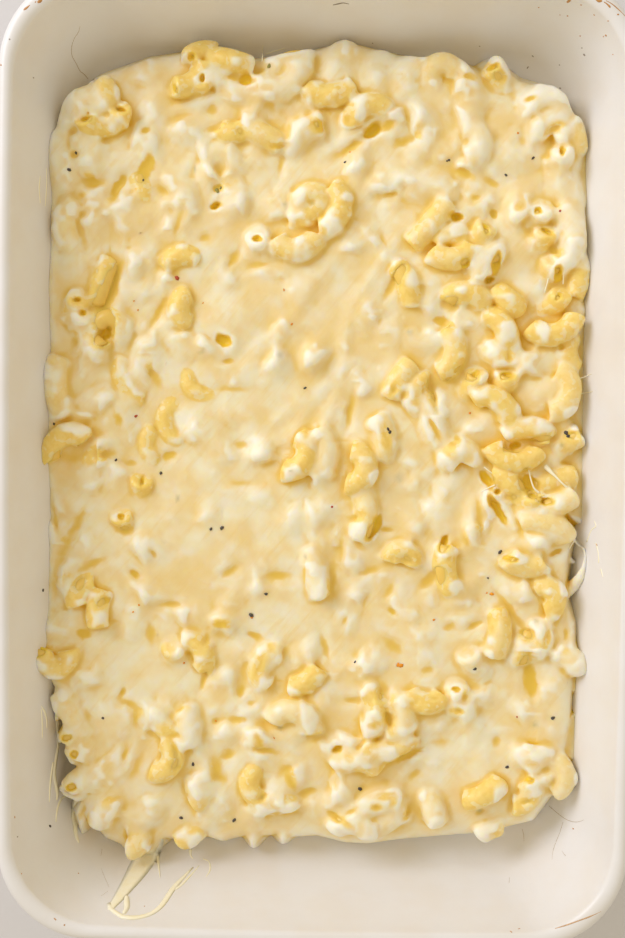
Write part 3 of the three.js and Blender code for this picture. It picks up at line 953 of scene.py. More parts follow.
# Hollows in the sauce: a point in view, a length and a width in view units, an angle in
# degrees and a depth in mm. From HOLE_DEPTH on they are open holes.
HOLE_DEPTH = 3.5
POCKETS = [
    (93, 181, 14, 8, -10, 2.5), (119, 186, 22, 8, 57, 3), (146, 168, 26, 12, 62, 3),
    (146, 130, 9, 6, 40, 2.5), (80, 195, 6, 5, 0, 1.5), (161, 190, 10, 5, -40, 1.5),
    (212, 110, 8, 7, 0, 1.2), (213, 128, 9, 5, 15, 1.5), (217, 188, 8, 5, 40, 3),
    (246, 79, 11, 10, 0, 4.5), (236, 78, 14, 6, -10, 1.5), (277, 146, 13, 4, 3, 2.5),
    (241, 131, 9, 5, -50, 2), (372, 131, 16, 10, 35, 4.5), (387, 126, 13, 8, 20, 2.4),
    (348, 149, 32, 6, 32, 2), (346, 119, 13, 9, -60, 2), (404, 141, 26, 10, 25, 2),
    (281, 165, 12, 4, 80, 1), (475, 76, 22, 5, 0, 1.2), (499, 79, 9, 7, 30, 2),
    (528, 99, 10, 4, 0, 2), (553, 131, 14, 5, 30, 1), (462, 173, 20, 8, -15, 2),
    (492, 183, 12, 5, -25, 1.5), (476, 198, 8, 5, 40, 1.5), (113, 288, 52, 9, 72, 2.4),
    (101, 306, 14, 12, 70, 2.6), (106, 334, 14, 9, 55, 3.5), (111, 321, 5, 3, 60, 3),
    (177, 228, 28, 5, 72, 1.2), (159, 262, 34, 4, 75, 1.2), (159, 312, 32, 7, 62, 2),
    (216, 206, 10, 6, 12, 4.5), (224, 341, 15, 11, -30, 3.5), (228, 361, 8, 4, 0, 2),
    (205, 238, 9, 5, 20, 0.8), (234, 258, 16, 6, 62, 2), (258, 265, 18, 5, 10, 1.2),
    (457, 217, 11, 8, 10, 5.5), (466, 264, 9, 7, 30, 3.5), (494, 214, 6, 8, 0, 3),
    (520, 205, 9, 7, 40, 1.5), (553, 250, 8, 6, -40, 2.5), (559, 276, 6, 14, 0, 4.5),
    (496, 266, 19, 7, 80, 3.5), (490, 280, 7, 4, 20, 3.5), (450, 308, 12, 11, 0, 1.4),
    (441, 321, 11, 7, 0, 2.5), (510, 357, 9, 4, 90, 2), (562, 347, 4, 4, 0, 2),
    (465, 365, 24, 7, 60, 1.5), (156, 380, 20, 8, -66, 1.2), (169, 456, 13, 7, 16, 2.4),
    (118, 420, 15, 10, 80, 2.2), (110, 453, 17, 8, 15, 1.6), (131, 463, 8, 4, -10, 1.2),
    (123, 531, 14, 7, 0, 1.4), (76, 525, 30, 6, 60, 1.4), (73, 458, 20, 13, 20, 1.4),
    (54, 515, 24, 4, -75, 1), (241, 445, 8, 5, 0, 0.8), (241, 483, 22, 6, 0, 1),
    (234, 389, 34, 5, 0, 1), (350, 412, 28, 5, 80, 1.4), (387, 438, 30, 5, -68, 1.4),
    (393, 391, 8, 4, 70, 1.6), (376, 527, 24, 7, 66, 4), (353, 519, 7, 3, 25, 1.4),
    (386, 529, 10, 4, 0, 1.6), (392, 285, 30, 6, 58, 1.4), (433, 389, 20, 4, -80, 2),
    (436, 432, 28, 4, -62, 1.4), (457, 437, 6, 5, 0, 2), (452, 444, 6, 5, 0, 2),
    (450, 382, 24, 5, 15, 1.6), (515, 446, 10, 6, 10, 4), (530, 441, 24, 4, 12, 1.6),
    (486, 478, 16, 8, -60, 3.6), (498, 491, 6, 4, 20, 3.8), (529, 483, 18, 12, -60, 3.5),
    (545, 500, 10, 7, 0, 4.5), (499, 512, 28, 6, -58, 3.6), (478, 508, 44, 4, -80, 1),
    (512, 499, 8, 5, 0, 2), (572, 435, 7, 7, 0, 3), (66, 545, 34, 7, 62, 1),
    (54, 578, 38, 5, 84, 0.7), (92, 564, 26, 6, 25, 1.6), (81, 577, 12, 6, 80, 1.4),
    (134, 574, 10, 5, -35, 2.5), (106, 601, 13, 6, 22, 3), (84, 633, 15, 9, -15, 2.5),
    (154, 555, 7, 4, -60, 1.2), (151, 634, 19, 9, -85, 1.4), (171, 605, 18, 4, 5, 1.4),
    (207, 637, 9, 3, 85, 1.5), (220, 625, 15, 8, 0, 2.5), (203, 681, 12, 4, 70, 1.6),
    (123, 692, 9, 5, 60, 2), (230, 571, 14, 5, 35, 1.2), (278, 576, 26, 9, 0, 1.8),
    (255, 635, 13, 7, -20, 1.8), (333, 582, 42, 5, 86, 1.4), (341, 552, 44, 4, 88, 1),
    (407, 561, 12, 8, -12, 2), (391, 611, 8, 4, -45, 2.5), (389, 591, 14, 6, 60, 1.2),
    (345, 621, 10, 4, 65, 1.2), (325, 647, 20, 4, -75, 1.2), (393, 646, 19, 8, -36, 1),
    (241, 690, 14, 7, 82, 2.2), (258, 668, 34, 5, 70, 1.2), (384, 688, 12, 7, 80, 1.4),
    (370, 571, 18, 6, 20, 1), (445, 541, 12, 6, 65, 4), (427, 582, 23, 10, 42, 1.6),
    (465, 541, 18, 5, -62, 1.6), (556, 552, 11, 4, 25, 2.5), (512, 612, 40, 4, -52, 1.2),
    (523, 632, 8, 6, 0, 2.5), (530, 681, 32, 12, -82, 3), (566, 633, 9, 3, 88, 1.4),
    (549, 633, 12, 3, 85, 1.4), (474, 625, 13, 4, 25, 1.2), (427, 670, 9, 6, 0, 1.2),
    (450, 627, 9, 6, 0, 1), (466, 697, 8, 5, 60, 1.4), (435, 698, 8, 4, 0, 1.4),
    (60, 724, 12, 6, 72, 4.5), (66, 738, 9, 5, 20, 3.8), (74, 755, 8, 6, 80, 3.8),
    (71, 788, 9, 6, 30, 3.8), (135, 716, 28, 6, -88, 1.6), (127, 703, 18, 6, -20, 1.4),
    (125, 754, 12, 4, 70, 1.4), (175, 750, 24, 4, -68, 1.6), (172, 736, 9, 4, 0, 2),
    (178, 766, 9, 6, 20, 1.4), (182, 704, 22, 5, 50, 1.2), (217, 768, 26, 10, -80, 2),
    (228, 755, 12, 8, 30, 1.8), (221, 778, 8, 6, -40, 1.6), (118, 798, 12, 4, 10, 1),
    (136, 768, 26, 6, 66, 1), (216, 721, 4, 3, 0, 1), (80, 815, 18, 6, 70, 1.5),
    (259, 742, 22, 8, -68, 1.8), (270, 752, 26, 6, -8, 1.8), (251, 703, 6, 5, 0, 1.2),
    (235, 719, 16, 5, 0, 1.2), (284, 770, 16, 7, 35, 1.6), (292, 784, 26, 7, -58, 1.8),
    (308, 792, 16, 6, 15, 1.6), (316, 740, 9, 4, 20, 1), (388, 719, 13, 4, -75, 2.8),
    (374, 726, 14, 4, 0, 1.2), (337, 749, 10, 5, 40, 3.5), (408, 756, 26, 5, 28, 3),
    (352, 700, 13, 5, 0, 1.4), (376, 808, 7, 5, 0, 2), (388, 795, 20, 5, 5, 1.2),
    (395, 803, 10, 4, 35, 1.2), (409, 812, 8, 4, 70, 2), (333, 815, 14, 3, -28, 1.6),
    (347, 813, 12, 2.5, 30, 1.4), (273, 807, 16, 4, -25, 1), (264, 796, 8, 4, 50, 2),
    (414, 702, 8, 8, 0, 1.2), (458, 712, 9, 4, 0, 2), (496, 742, 8, 6, 80, 1.2),
    (414, 775, 11, 6, 50, 1), (525, 802, 12, 4, 15, 2), (530, 766, 18, 4, 0, 1),
    (441, 742, 14, 6, 0, 0.8), (480, 813, 9, 4, 30, 1.5), (319, 125, 15, 11, -50, 2.5),
    (86, 119, 10, 5, 12, 3.8), (121, 109, 9, 3.5, -12, 3.8), (175, 88, 9, 3.5, -60, 3.8),
    (202, 78, 7, 4, 70, 3.8), (191, 57, 6, 6, 0, 3.8), (257, 238, 10, 5, 0, 3.8),
    (562, 150, 8, 3, 85, 3.8), (546, 231, 9, 4, -25, 3.8), (486, 228, 10, 4.5, -70, 3.8),
    (538, 210, 8, 6, 80, 3.8), (476, 375, 11, 5, 45, 3.8), (507, 375, 10, 6, 15, 3.8),
    (559, 296, 9, 2.5, 62, 3.8), (533, 494, 9, 4, -25, 3.8), (509, 559, 11, 3.5, -5, 3.8),
    (456, 689, 7, 3.5, 0, 3.8), (142, 480, 8, 2.5, 90, 3.8), (121, 517, 5, 5, 0, 3.8),
    (77, 300, 6, 3.5, 0, 3.8), (83, 313, 5, 5, 0, 3.8), (528, 778, 9, 4, 0, 3.8),
    (492, 67, 9, 4, 15, 3.8), (42, 647, 14, 12, 80, 3.8),
]

# Smooth domes in the sauce: a point in view, a radius in view units and a height in mm.
DOMES = [
    (352, 62, 24, 1.6), (430, 86, 24, 1.6), (395, 90, 20, 1.2), (560, 108, 24, 1.0),
    (66, 278, 30, 1.0), (82, 262, 20, 0.8), (115, 718, 22, 1.7), (235, 702, 22, 1.2),
    (273, 738, 13, 1.4), (275, 664, 14, 1.0), (505, 248, 26, 1.6), (524, 264, 22, 0.8),
    (545, 388, 22, 1.2), (250, 82, 20, 1.0), (212, 112, 26, 0.8), (232, 318, 26, 1.4),
    (198, 262, 22, 0.8), (205, 420, 24, 1.2), (135, 225, 24, 0.8), (205, 330, 16, 0.6),
    (215, 372, 20, 1.0), (130, 150, 20, 0.6), (350, 180, 24, 0.6), (372, 440, 18, 0.8),
    (528, 602, 18, 1.2), (560, 640, 18, 0.6), (430, 650, 26, 0.6), (330, 700, 24, 0.6),
]

# Ropes and folds of sauce: a height and a width in mm, then points in view along the crest.
FOLDS = [
    (2.4, 5.0, [(450, 104), (478, 97), (505, 103), (518, 124), (510, 150), (492, 168)]),
    (1.5, 4.5, [(340, 250), (308, 290), (284, 330), (266, 380)]),
    (1.4, 4.0, [(396, 240), (374, 274), (352, 306), (344, 344)]),
    (1.1, 3.5, [(352, 362), (322, 390), (302, 418), (288, 440)]),
    (1.1, 3.5, [(304, 400), (266, 428), (244, 462)]),
    (1.0, 3.0, [(346, 350), (338, 392), (326, 420)]),
    (1.5, 2.6, [(98, 240), (97, 270), (95, 302)]),
    (1.2, 3.5, [(168, 206), (155, 240), (150, 282)]),
    (1.3, 4.0, [(356, 104), (366, 86), (386, 75), (406, 82), (414, 104)]),
    (1.6, 2.2, [(499, 496), (508, 511), (515, 527)]),
    (2.2, 4.5, [(336, 828), (360, 826), (386, 814), (402, 802)]),
    (1.6, 3.5, [(348, 808), (370, 797), (392, 787)]),
    (1.2, 3.0, [(486, 656), (484, 634), (492, 610)]),
    (1.2, 2.8, [(436, 546), (433, 562), (441, 582)]),
    (1.0, 2.4, [(60, 366), (59, 390), (61, 408)]),
    (1.0, 2.5, [(120, 452), (104, 430), (112, 400)]),
    (0.9, 3.0, [(196, 150), (176, 190), (160, 210)]),
    (0.9, 3.0, [(330, 150), (372, 120), (384, 100)]),
    (1.4, 4.0, [(563, 648), (558, 690), (551, 735)]),
    (1.1, 3.0, [(543, 690), (539, 735), (534, 770)]),
    (0.9, 2.2, [(84, 198), (90, 230), (92, 262)]),
    (0.8, 2.2, [(108, 205), (106, 240), (104, 285)]),
    (0.8, 2.2, [(128, 210), (124, 250), (120, 290)]),
    (1.0, 3.0, [(140, 126), (175, 110), (215, 98), (262, 93)]),
]

# The direction in which the smooth sauce was pulled.
PULL = (0.636, 0.772)

# Webs of sauce between the food and the dish: for each point of a strand a point in view, a
# height in mm over the sauce and half a width in view units.
WEBS = [
    [(58, 690, -1, 3.1), (57, 704, -2.5, 2.8), (57, 716, -3.5, 2.5), (58, 728, -4, 2.8),
     (60, 737, -4, 2.7)],
    [(61, 729, -4, 2.5), (66, 727, -3.5, 3.1), (72, 728, -3, 4.2)],
    [(60, 741, -5, 2.2), (62, 737, -4, 2.7), (66, 735, -3.4, 2.8), (71, 737, -3, 3.1),
     (75, 742, -3, 3.4), (81, 740, -2.5, 3.9)],
    [(84, 740, -2, 4.5), (86, 753, -2.4, 5.3), (85, 766, -2.8, 5.9), (83, 778, -3, 5.6),
     (84, 788, -3, 5.3), (81, 796, -3.5, 4.5)],
    [(69, 744, -3.5, 3.1), (68.5, 753, -4, 3.4), (73, 760, -4, 4.2), (79, 761, -3.6, 4.5),
     (85, 758, -3, 4.5)],
    [(83, 772, -3, 5.9), (76, 777, -3.6, 4.8), (69, 783, -4.4, 3.9), (62, 788, -6, 3.1)],
    [(84, 792, -3, 5.6), (78, 797, -3.8, 4.8), (71, 795, -5, 3.6), (65, 793, -6, 2.8)],
    [(573, 534, -0.5, 1.1), (575, 541, -1.5, 1.2), (579, 545.5, -2.5, 1.3), (584, 549, -4, 1.5),
     (585.5, 557, -6, 1.6), (584, 567, -7, 2.6), (580, 577, -7, 4.4), (574, 585, -6.5, 6),
     (567, 591, -6, 6.5), (560, 598, -5, 6)],
    [(561, 556, -4, 3), (568, 559, -5, 3.2), (574, 562, -6.5, 2)],
]

# Where the sauce reaches the wall, just under its top: a point in view and a radius.
AGAINST_WALL = [
    (590, 170, 50), (590, 250, 50), (590, 330, 50), (590, 400, 50), (590, 460, 45), (590, 500, 36),
    (590, 670, 40), (590, 740, 40),
]

# Where pulled sauce lies smooth over everything: a point in view and a radius.
SMOOTH = [
    (320, 290, 75), (285, 380, 70), (330, 420, 60), (205, 500, 80), (150, 560, 70), (250, 560, 80),
    (300, 630, 60), (130, 660, 60), (400, 470, 45), (420, 620, 55), (500, 720, 50), (440, 760, 55),
    (540, 660, 45), (300, 170, 40), (80, 270, 40), (100, 740, 40), (240, 820, 40), (250, 290, 50),
]


@dataclass
class Elbow:
    """One piece of macaroni: an arc of tube through start, middle and end."""

    points: np.ndarray
    tube: float
    cover: float

    def __post_init__(self):
        a, b, c = self.points
        ab, ac = b - a, c - a
        normal = np.cross(ab, ac)
        square = normal @ normal
        to_centre = (np.cross(normal, ab) * (ac @ ac) + np.cross(ac, normal) * (ab @ ab)) / (2 * square)
        self.centre = a + to_centre
        self.bend = float(np.linalg.norm(to_centre))
        out = (b - self.centre) / self.bend
        up = normal / math.sqrt(square)
        side = np.cross(up, out)
        start = math.atan2((a - self.centre) @ side, (a - self.centre) @ out)
        end = math.atan2((c - self.centre) @ side, (c - self.centre) @ out)
        if start > end:
            side, up, start, end = -side, -up, -start, -end
        middle = (start + end) / 2
        self.half = (end - start) / 2
        cos, sin = math.cos(middle), math.sin(middle)
        self.out = cos * out + sin * side
        self.side = cos * side - sin * out
        self.up = up
        self.film = (0.36 + 0.9 * self.cover) * MM

    def arc(self, x, y, z):
        """Place across the tube (outwards, upwards), and distance past the nearer end."""
        dx, dy, dz = x - self.centre[0], y - self.centre[1], z - self.centre[2]
        lx = self.out[0] * dx + self.out[1] * dy + self.out[2] * dz
        ly = self.side[0] * dx + self.side[1] * dy + self.side[2] * dz
        lz = self.up[0] * dx + self.up[1] * dy + self.up[2] * dz
        along = self.bend * (np.abs(np.arctan2(ly, lx)) - self.half)
        return np.hypot(lx, ly) - self.bend, lz, along

    def reach(self, margin):
        """The corners of a box that holds the tube with a margin."""
        line = self.place(np.linspace(-self.half, self.half, 9), np.zeros(9), np.zeros(9))
        spare = self.tube + margin
        return line.min(0) - spare, line.max(0) + spare

    def place(self, turn, radial, around):
        """The place at an angle along the arc and an angle around the tube."""
        away = self.bend + radial * np.cos(around)
        return (
            self.centre
            + np.multiply.outer(away * np.cos(turn), self.out)
            + np.multiply.outer(away * np.sin(turn), self.side)
            + np.multiply.outer(radial * np.sin(around), self.up)
        )


def tube_distance(elbow, out, up, along, edge):
    """Distance outside the solid tube, with its two ends rounded at the edge."""
    a, u = np.hypot(out, up) - elbow.tube + edge, along + edge
    return np.hypot(np.maximum(a, 0), np.maximum(u, 0)) + np.minimum(np.maximum(a, u), 0) - edge


def nearness(spots, x, y, z):
    """From 0 to 1, how near each place is to one of some spots (u, v, radius)."""
    best = np.zeros(np.broadcast(x, y).shape)
    for u, v, radius in spots:
        best = np.maximum(best, bell(x, y, seen(u, v, z), radius * UNIT))
    return best


def sauce_level(food, x, y):
    """Height of the sauce between the pieces of macaroni."""
    rough = 1 - 0.75 * nearness(SMOOTH, x, y, food.level)
    height = food.level + 1.0 * MM * value_noise(x, y, 46 * MM, 3)
    height = height + 0.6 * MM * rough * value_noise(x, y, 19 * MM, 5)
    along, across = x * PULL[0] + y * PULL[1], y * PULL[0] - x * PULL[1]
    streaks = 0.34 * value_noise(across, along / 6, 11 * MM, 9)
    streaks = streaks + 0.09 * value_noise(across, along / 9, 3.2 * MM, 12)
    height = height + streaks * MM * (1 - rough)
    for u, v, radius, rise in DOMES:
        cx, cy = seen(u, v, food.level)
        spread = (radius * UNIT) ** 2
        height = height + rise * MM * np.exp(-(((x - cx) ** 2 + (y - cy) ** 2) / spread) ** 1.5)
    for rise, width, crest in FOLDS:
        away = line_distance([seen(u, v, food.level) for u, v in crest], x, y)
        height = height + 0.55 * rise * MM * np.exp(-((away / (0.7 * width * MM)) ** 2))
    front = 9 * MM * np.clip((-y - 0.108) / 0.044, 0, 1) ** 2
    back = 4 * MM * np.clip((y - 0.130) / 0.026, 0, 1) ** 2
    return height - front - back


def level_at(food, x, y):
    """Height of the sauce at one place."""
    return float(sauce_level(food, np.array(x), np.array(y)))


def shown_elbows(food):
    """The macaroni that shows, from its table."""
    elbows = []
    for a, b, c, cover in ELBOWS:
        points = []
        for u, v, rise in (a, b, c):
            x, y = seen(u, v, food.level + rise * MM)
            z = level_at(food, *seen(b[0], b[1], food.level)) + rise * MM
            points.append(np.array([x, y, z]))
        elbows.append(Elbow(np.array(points), food.tube, cover))
    return elbows


def hidden_elbows(food, shown):
    """Macaroni at random under the sauce, which makes the lumps between the rest."""
    rng = np.random.default_rng(food.seed)
    taken = [point[:2] for elbow in shown for point in elbow.points]
    loop = [seen(u, v, food.level) for u, v in FOOD_EDGE]
    tries, edge_gap, shown_gap, hidden_gap = 6000, 6 * MM, 7.5 * MM, 11 * MM
    half = 0.98
    elbows = []
    spots = []
    for _ in range(tries):
        spot = np.array([rng.uniform(FOOD_LOW.x, FOOD_HIGH.x), rng.uniform(FOOD_LOW.y, FOOD_HIGH.y)])
        heading = rng.uniform(0, 2 * math.pi)
        tip, lean = rng.normal(0, 0.35), rng.normal(0, 0.3)
        size, arch, sink = rng.uniform(0.9, 1.15), rng.uniform(0.8, 1.3), rng.normal(0, 1)
        if not inside_loop(loop, spot[0], spot[1]):
            continue
        if float(line_distance(loop + loop[:1], spot[0], spot[1])) < edge_gap:
            continue
        if min(np.hypot(*(spot - other)) for other in taken) < shown_gap:
            continue
        if spots and min(np.hypot(*(spot - other)) for other in spots) < hidden_gap:
            continue
        spots.append(spot)
        smooth = float(nearness(SMOOTH, spot[0], spot[1], food.level))
        depth = (-3.7 - 3.3 * smooth + 0.7 * sink) * MM
        middle = np.array([*spot, level_at(food, *spot) + depth])
        forward = np.array([math.cos(heading), math.sin(heading), tip])
        side = np.array([-math.sin(heading), math.cos(heading), lean])
        bend = food.bend * arch
        back = -bend * (1 - math.cos(half)) * forward
        reach = bend * math.sin(half) * side
        points = np.array([middle + back - reach, middle, middle + back + reach])
        elbows.append(Elbow(points, food.tube * size, rng.uniform(0.7, 1.3)))
    return elbows


def web_line(form, food, strand):
    """The places and half widths along a strand, kept clear of the dish's wall."""
    places, halves = [], []
    heights = np.linspace(form.floor, food.level + 8 * MM, 160)
    for u, v, rise, half in strand:
        xs, ys = seen(u, v, heights)
        clear = heights[form.cavity_distance(xs, ys, heights, 0) < -0.6 * half * UNIT]
        z = max(food.level + rise * MM, float(clear.min()) if len(clear) else food.level)
        places.append(np.array([*seen(u, v, z), z]))
        halves.append(half * UNIT)
    return places, halves


def strand_distance(places, halves, x, y, z):
    """Distance outside a chain of rods with round ends and changing widths."""
    best = 1.0
    for a, b, wide_a, wide_b in zip(places, places[1:], halves, halves[1:]):
        d = b - a
        t = ((x - a[0]) * d[0] + (y - a[1]) * d[1] + (z - a[2]) * d[2]) / (d @ d)
        t = np.clip(t, 0, 1)
        away = np.sqrt((x - a[0] - t * d[0]) ** 2 + (y - a[1] - t * d[1]) ** 2 + (z - a[2] - t * d[2]) ** 2)
        best = np.minimum(best, away - wide_a - t * (wide_b - wide_a))
    return best


def carve_pockets(food, grid, body, columns):
    """Hollows in the sauce, from their table. Returns how far each sample is in one."""
    deep = np.zeros(grid.shape)
    for u, v, long, short, angle, depth in POCKETS:
        z = food.level
        for _ in range(3):
            x, y = seen(u, v, z)
            z = float(columns(x, y))
        hole = depth >= HOLE_DEPTH
        a = (long + 1) * UNIT / 2
        b = max(short + 0.6, 4) * UNIT / 2
        c = (0.5 * depth if hole else 0.24 * depth + 0.2) * MM
        centre = np.array((x, y, z - c / 2))
        reach = max(a + 5 * MM, c + 6 * MM)
        window, (gx, gy, gz) = grid.box(centre - reach, centre + reach)
        if body[window].size == 0:
            continue
        turn = math.radians(angle)
        dx, dy = gx - x, gy - y
        lx = dx * math.cos(turn) + dy * math.sin(turn)
        ly = dy * math.cos(turn) - dx * math.sin(turn)
        warp = 0.3 * b + 0.2 * MM
        lx = lx + warp * rough_noise(gx, gy, 2.6 * MM, 51, 2)
        ly = ly + warp * rough_noise(gx, gy, 2.6 * MM, 52, 2)
        rise = gz - z
        lz = np.where(rise < 0, rise / c, 0.0)
        flare = 1 + 0.25 * np.clip(rise / MM, 0, 3)
        flat = np.sqrt((lx / (a * flare)) ** 2 + (ly / (b * flare)) ** 2)
        distance = (np.hypot(flat, lz) - 1) * min(a, b, c)
        body[window] = smooth_max(body[window], -distance, (0.6 if hole else 1.4) * MM)
        # The colour mask for pasta in gaps and for painted shade: it is stronger in deeper hollows and full
        # in open holes.
        near = np.clip((1.2 - flat) / (0.4 if depth > 2.2 else 0.8), 0, 1)
        near = near * (1.0 if hole else 0.08 + 0.19 * depth)
        near = near * (np.abs(rise) < c + 1.2 * MM)
        deep[window] = np.maximum(deep[window], near)
    return deep


def sauce_swell(food, elbows, x, y):
    """How much higher the sauce stands where macaroni crowds near its surface."""
    crowd = 0.0 * (x + y)
    for elbow in elbows:
        middle = elbow.points[1]
        over = np.clip((middle[2] - food.level) / (2.5 * MM), 0, 1)
        crowd = crowd + over * bell(x, y, middle, 8 * MM)
    return 1.5 * MM * (1 - np.exp(-crowd))


# How far the sauce goes into the dish's wall, and how few corners make a loop a mere hole.
OVERLAP = 0.8 * MM
SMALL_LOOP = 60


def sauce_fields(form, food, elbows):
    """Fields of distance outside the sauce, the pasta and the dish's hollow, and of depth."""
    grid = Grid(
        (FOOD_LOW.x - 6 * MM, FOOD_LOW.y - 6 * MM, form.floor - 3 * MM),
        (FOOD_HIGH.x + 6 * MM, FOOD_HIGH.y + 6 * MM, food.level + 14 * MM),
        food.step,
    )
    x, y, z = opened(grid.axes)
    plane_x, plane_y = grid.axes[0][:, None], grid.axes[1][None, :]
    loop = [seen(u, v, food.level - 3 * MM) for u, v in FOOD_EDGE]
    edge = line_distance(loop + loop[:1], plane_x, plane_y)
    edge = np.where(inside_loop(loop, plane_x, plane_y), -edge, edge)[:, :, None]
    level = sauce_level(food, plane_x, plane_y)
    level = (level + sauce_swell(food, elbows, plane_x, plane_y))[:, :, None]
    body = smooth_max(z - level, edge - 0.35 * np.maximum(level - 3 * MM - z, 0), 4.5 * MM)
    by_wall = np.clip(1.6 * nearness(AGAINST_WALL, plane_x, plane_y, food.level), 0, 1)[:, :, None]
    body = smooth_min(body, z - level + (4 + 30 * (1 - by_wall)) * MM, 2.5 * MM)
    pasta = np.full(grid.shape, 20 * MM)
    uneven = rough_noise(plane_x, plane_y, 6 * MM, 21, 2)[:, :, None]
    for elbow in elbows:
        window, place = grid.box(*elbow.reach(6 * MM))
        if body[window].size == 0:
            continue
        out, up, along = elbow.arc(*place)
        solid = tube_distance(elbow, out, up, along, (0.5 + 0.6 * min(elbow.cover, 1.0)) * MM)
        patch = uneven[window[:2]]
        smear = np.clip((patch - 0.02) / 0.55, 0, 1)
        smear = smear * smear * (3 - 2 * smear)
        film = np.maximum(elbow.film + (0.6 * smear + 0.3 * elbow.cover * patch) * MM, 0.34 * MM)
        cling = (0.8 + 2.4 * min(elbow.cover, 1.0)) * MM
        coated = solid - film
        if elbow.cover > 0.75:
            coated = smooth_max(coated, edge[window[:2]] - 0.3 * MM, 1.5 * MM)
        body[window] = smooth_min(body[window], coated, cling)
        pasta[window] = np.minimum(pasta[window], solid)
    for strand in WEBS:
        places, halves = web_line(form, food, strand)
        low, high = np.min(places, axis=0), np.max(places, axis=0)
        window, place = grid.box(low - max(halves) - 3 * MM, high + max(halves) + 3 * MM)
        distance = strand_distance(places, halves, *place)
        body[window] = smooth_min(body[window], distance, 1.3 * MM)
    body = body + 0.12 * MM * rough_noise(plane_x, plane_y, 3.6 * MM, 33, 2)[:, :, None]
    top = grid.axes[2][-1] - grid.step * np.argmax(body[:, :, ::-1] < 0, axis=2)

    def columns(px, py):
        i = int(np.clip(round((px - grid.low[0]) / grid.step), 0, grid.shape[0] - 1))
        j = int(np.clip(round((py - grid.low[1]) / grid.step), 0, grid.shape[1] - 1))
        return top[i, j]

    deep = carve_pockets(food, grid, body, columns)
    cavity = form.cavity_distance(x, y, z, OVERLAP)
    return grid, body, pasta, cavity, deep


def add_skirt(form, points, quads):
    """Closes the open edge of the sauce with rings that follow the dish down to its floor."""
    edges = set()
    for a, b, c, d in quads.tolist():
        edges.update(((a, b), (b, c), (c, d), (d, a)))
    ahead = {}
    for a, b in edges:
        if (b, a) not in edges:
            ahead.setdefault(b, []).append(a)
    loops = []
    while ahead:
        loop, here = [], next(iter(ahead))
        while here in ahead:
            loop.append(here)
            steps = ahead[here]
            after = steps.pop()
            if not steps:
                del ahead[here]
            here = after
        loops.append(loop)
    points = points.tolist()
    faces = []
    bottom = form.floor - OVERLAP
    for loop in loops:
        ring = loop
        if len(loop) < SMALL_LOOP:
            faces.append(loop)
            continue
        start = [points[i] for i in loop]
        for share in (0.35, 0.65, 0.85, 1.0):
            new = []
            for x, y, z in start:
                down = z + (bottom - z) * share
                old = form.ring_scale(float(form.inner_inset(max(z, form.floor))))
                now = form.ring_scale(float(form.inner_inset(max(down, form.floor))))
                new.append(len(points))
                points.append([x * now[0] / old[0], y * now[1] / old[1], down])
            count = len(ring)
            for i in range(count):
                j = (i + 1) % count
                faces.append([ring[i], ring[j], new[j], new[i]])
            ring = new
        faces.append(ring)
    return np.array(points), faces


def model_elbow(food):
    """A piece of macaroni bent about the origin, its ring spun along the arc."""
    clean_slate()
    around, along = 18, 14
    bpy.ops.mesh.primitive_circle_add(
        vertices=around, radius=food.tube, location=(food.bend, 0, 0), rotation=(math.pi / 2, 0, 0)
    )
    ob = bpy.context.object
    ob.name = ob.data.name = "macaroni"
    bpy.ops.object.transform_apply(location=True, rotation=True, scale=True)
    bpy.ops.object.mode_set(mode="EDIT")
    bpy.ops.mesh.select_all(action="SELECT")
    bpy.ops.mesh.edge_face_add()
    bpy.ops.mesh.inset(thickness=food.tube - food.bore)
    bpy.ops.mesh.delete(type="ONLY_FACE")
    bpy.ops.mesh.select_all(action="SELECT")
    bpy.ops.transform.rotate(
        value=-1.0, orient_axis="Z", center_override=(0, 0, 0), orient_type="GLOBAL"
    )
    bpy.ops.mesh.spin(steps=along, angle=2.0, center=(0, 0, 0), axis=(0, 0, 1))
    bpy.ops.object.mode_set(mode="OBJECT")
    return ob


def pasta_mesh(food, elbows):
    """Every shown piece of macaroni, each a copy of the modelled one bent to its own arc."""
    verts, sides = taken_apart(model_elbow(food))
    turn = np.arctan2(verts[:, 1], verts[:, 0])
    level = np.hypot(verts[:, 0], verts[:, 1]) - food.bend
    radial = np.hypot(level, verts[:, 2])
    around = np.arctan2(verts[:, 2], level)
    turn = turn / np.abs(turn).max()
    radial = np.where(radial > (food.tube + food.bore) / 2, radial - 0.3 * MM, radial)
    points, quads = [], []
    for elbow in elbows:
        angle = turn * (elbow.half - 0.3 * MM / elbow.bend)
        add_copy(points, quads, elbow.place(angle, radial, around), sides)
    return points, quads


# ------------------------------------------------------------------ strings, webs and specks

# A height of WALL puts a point on the dish instead of over the sauce.
WALL = None

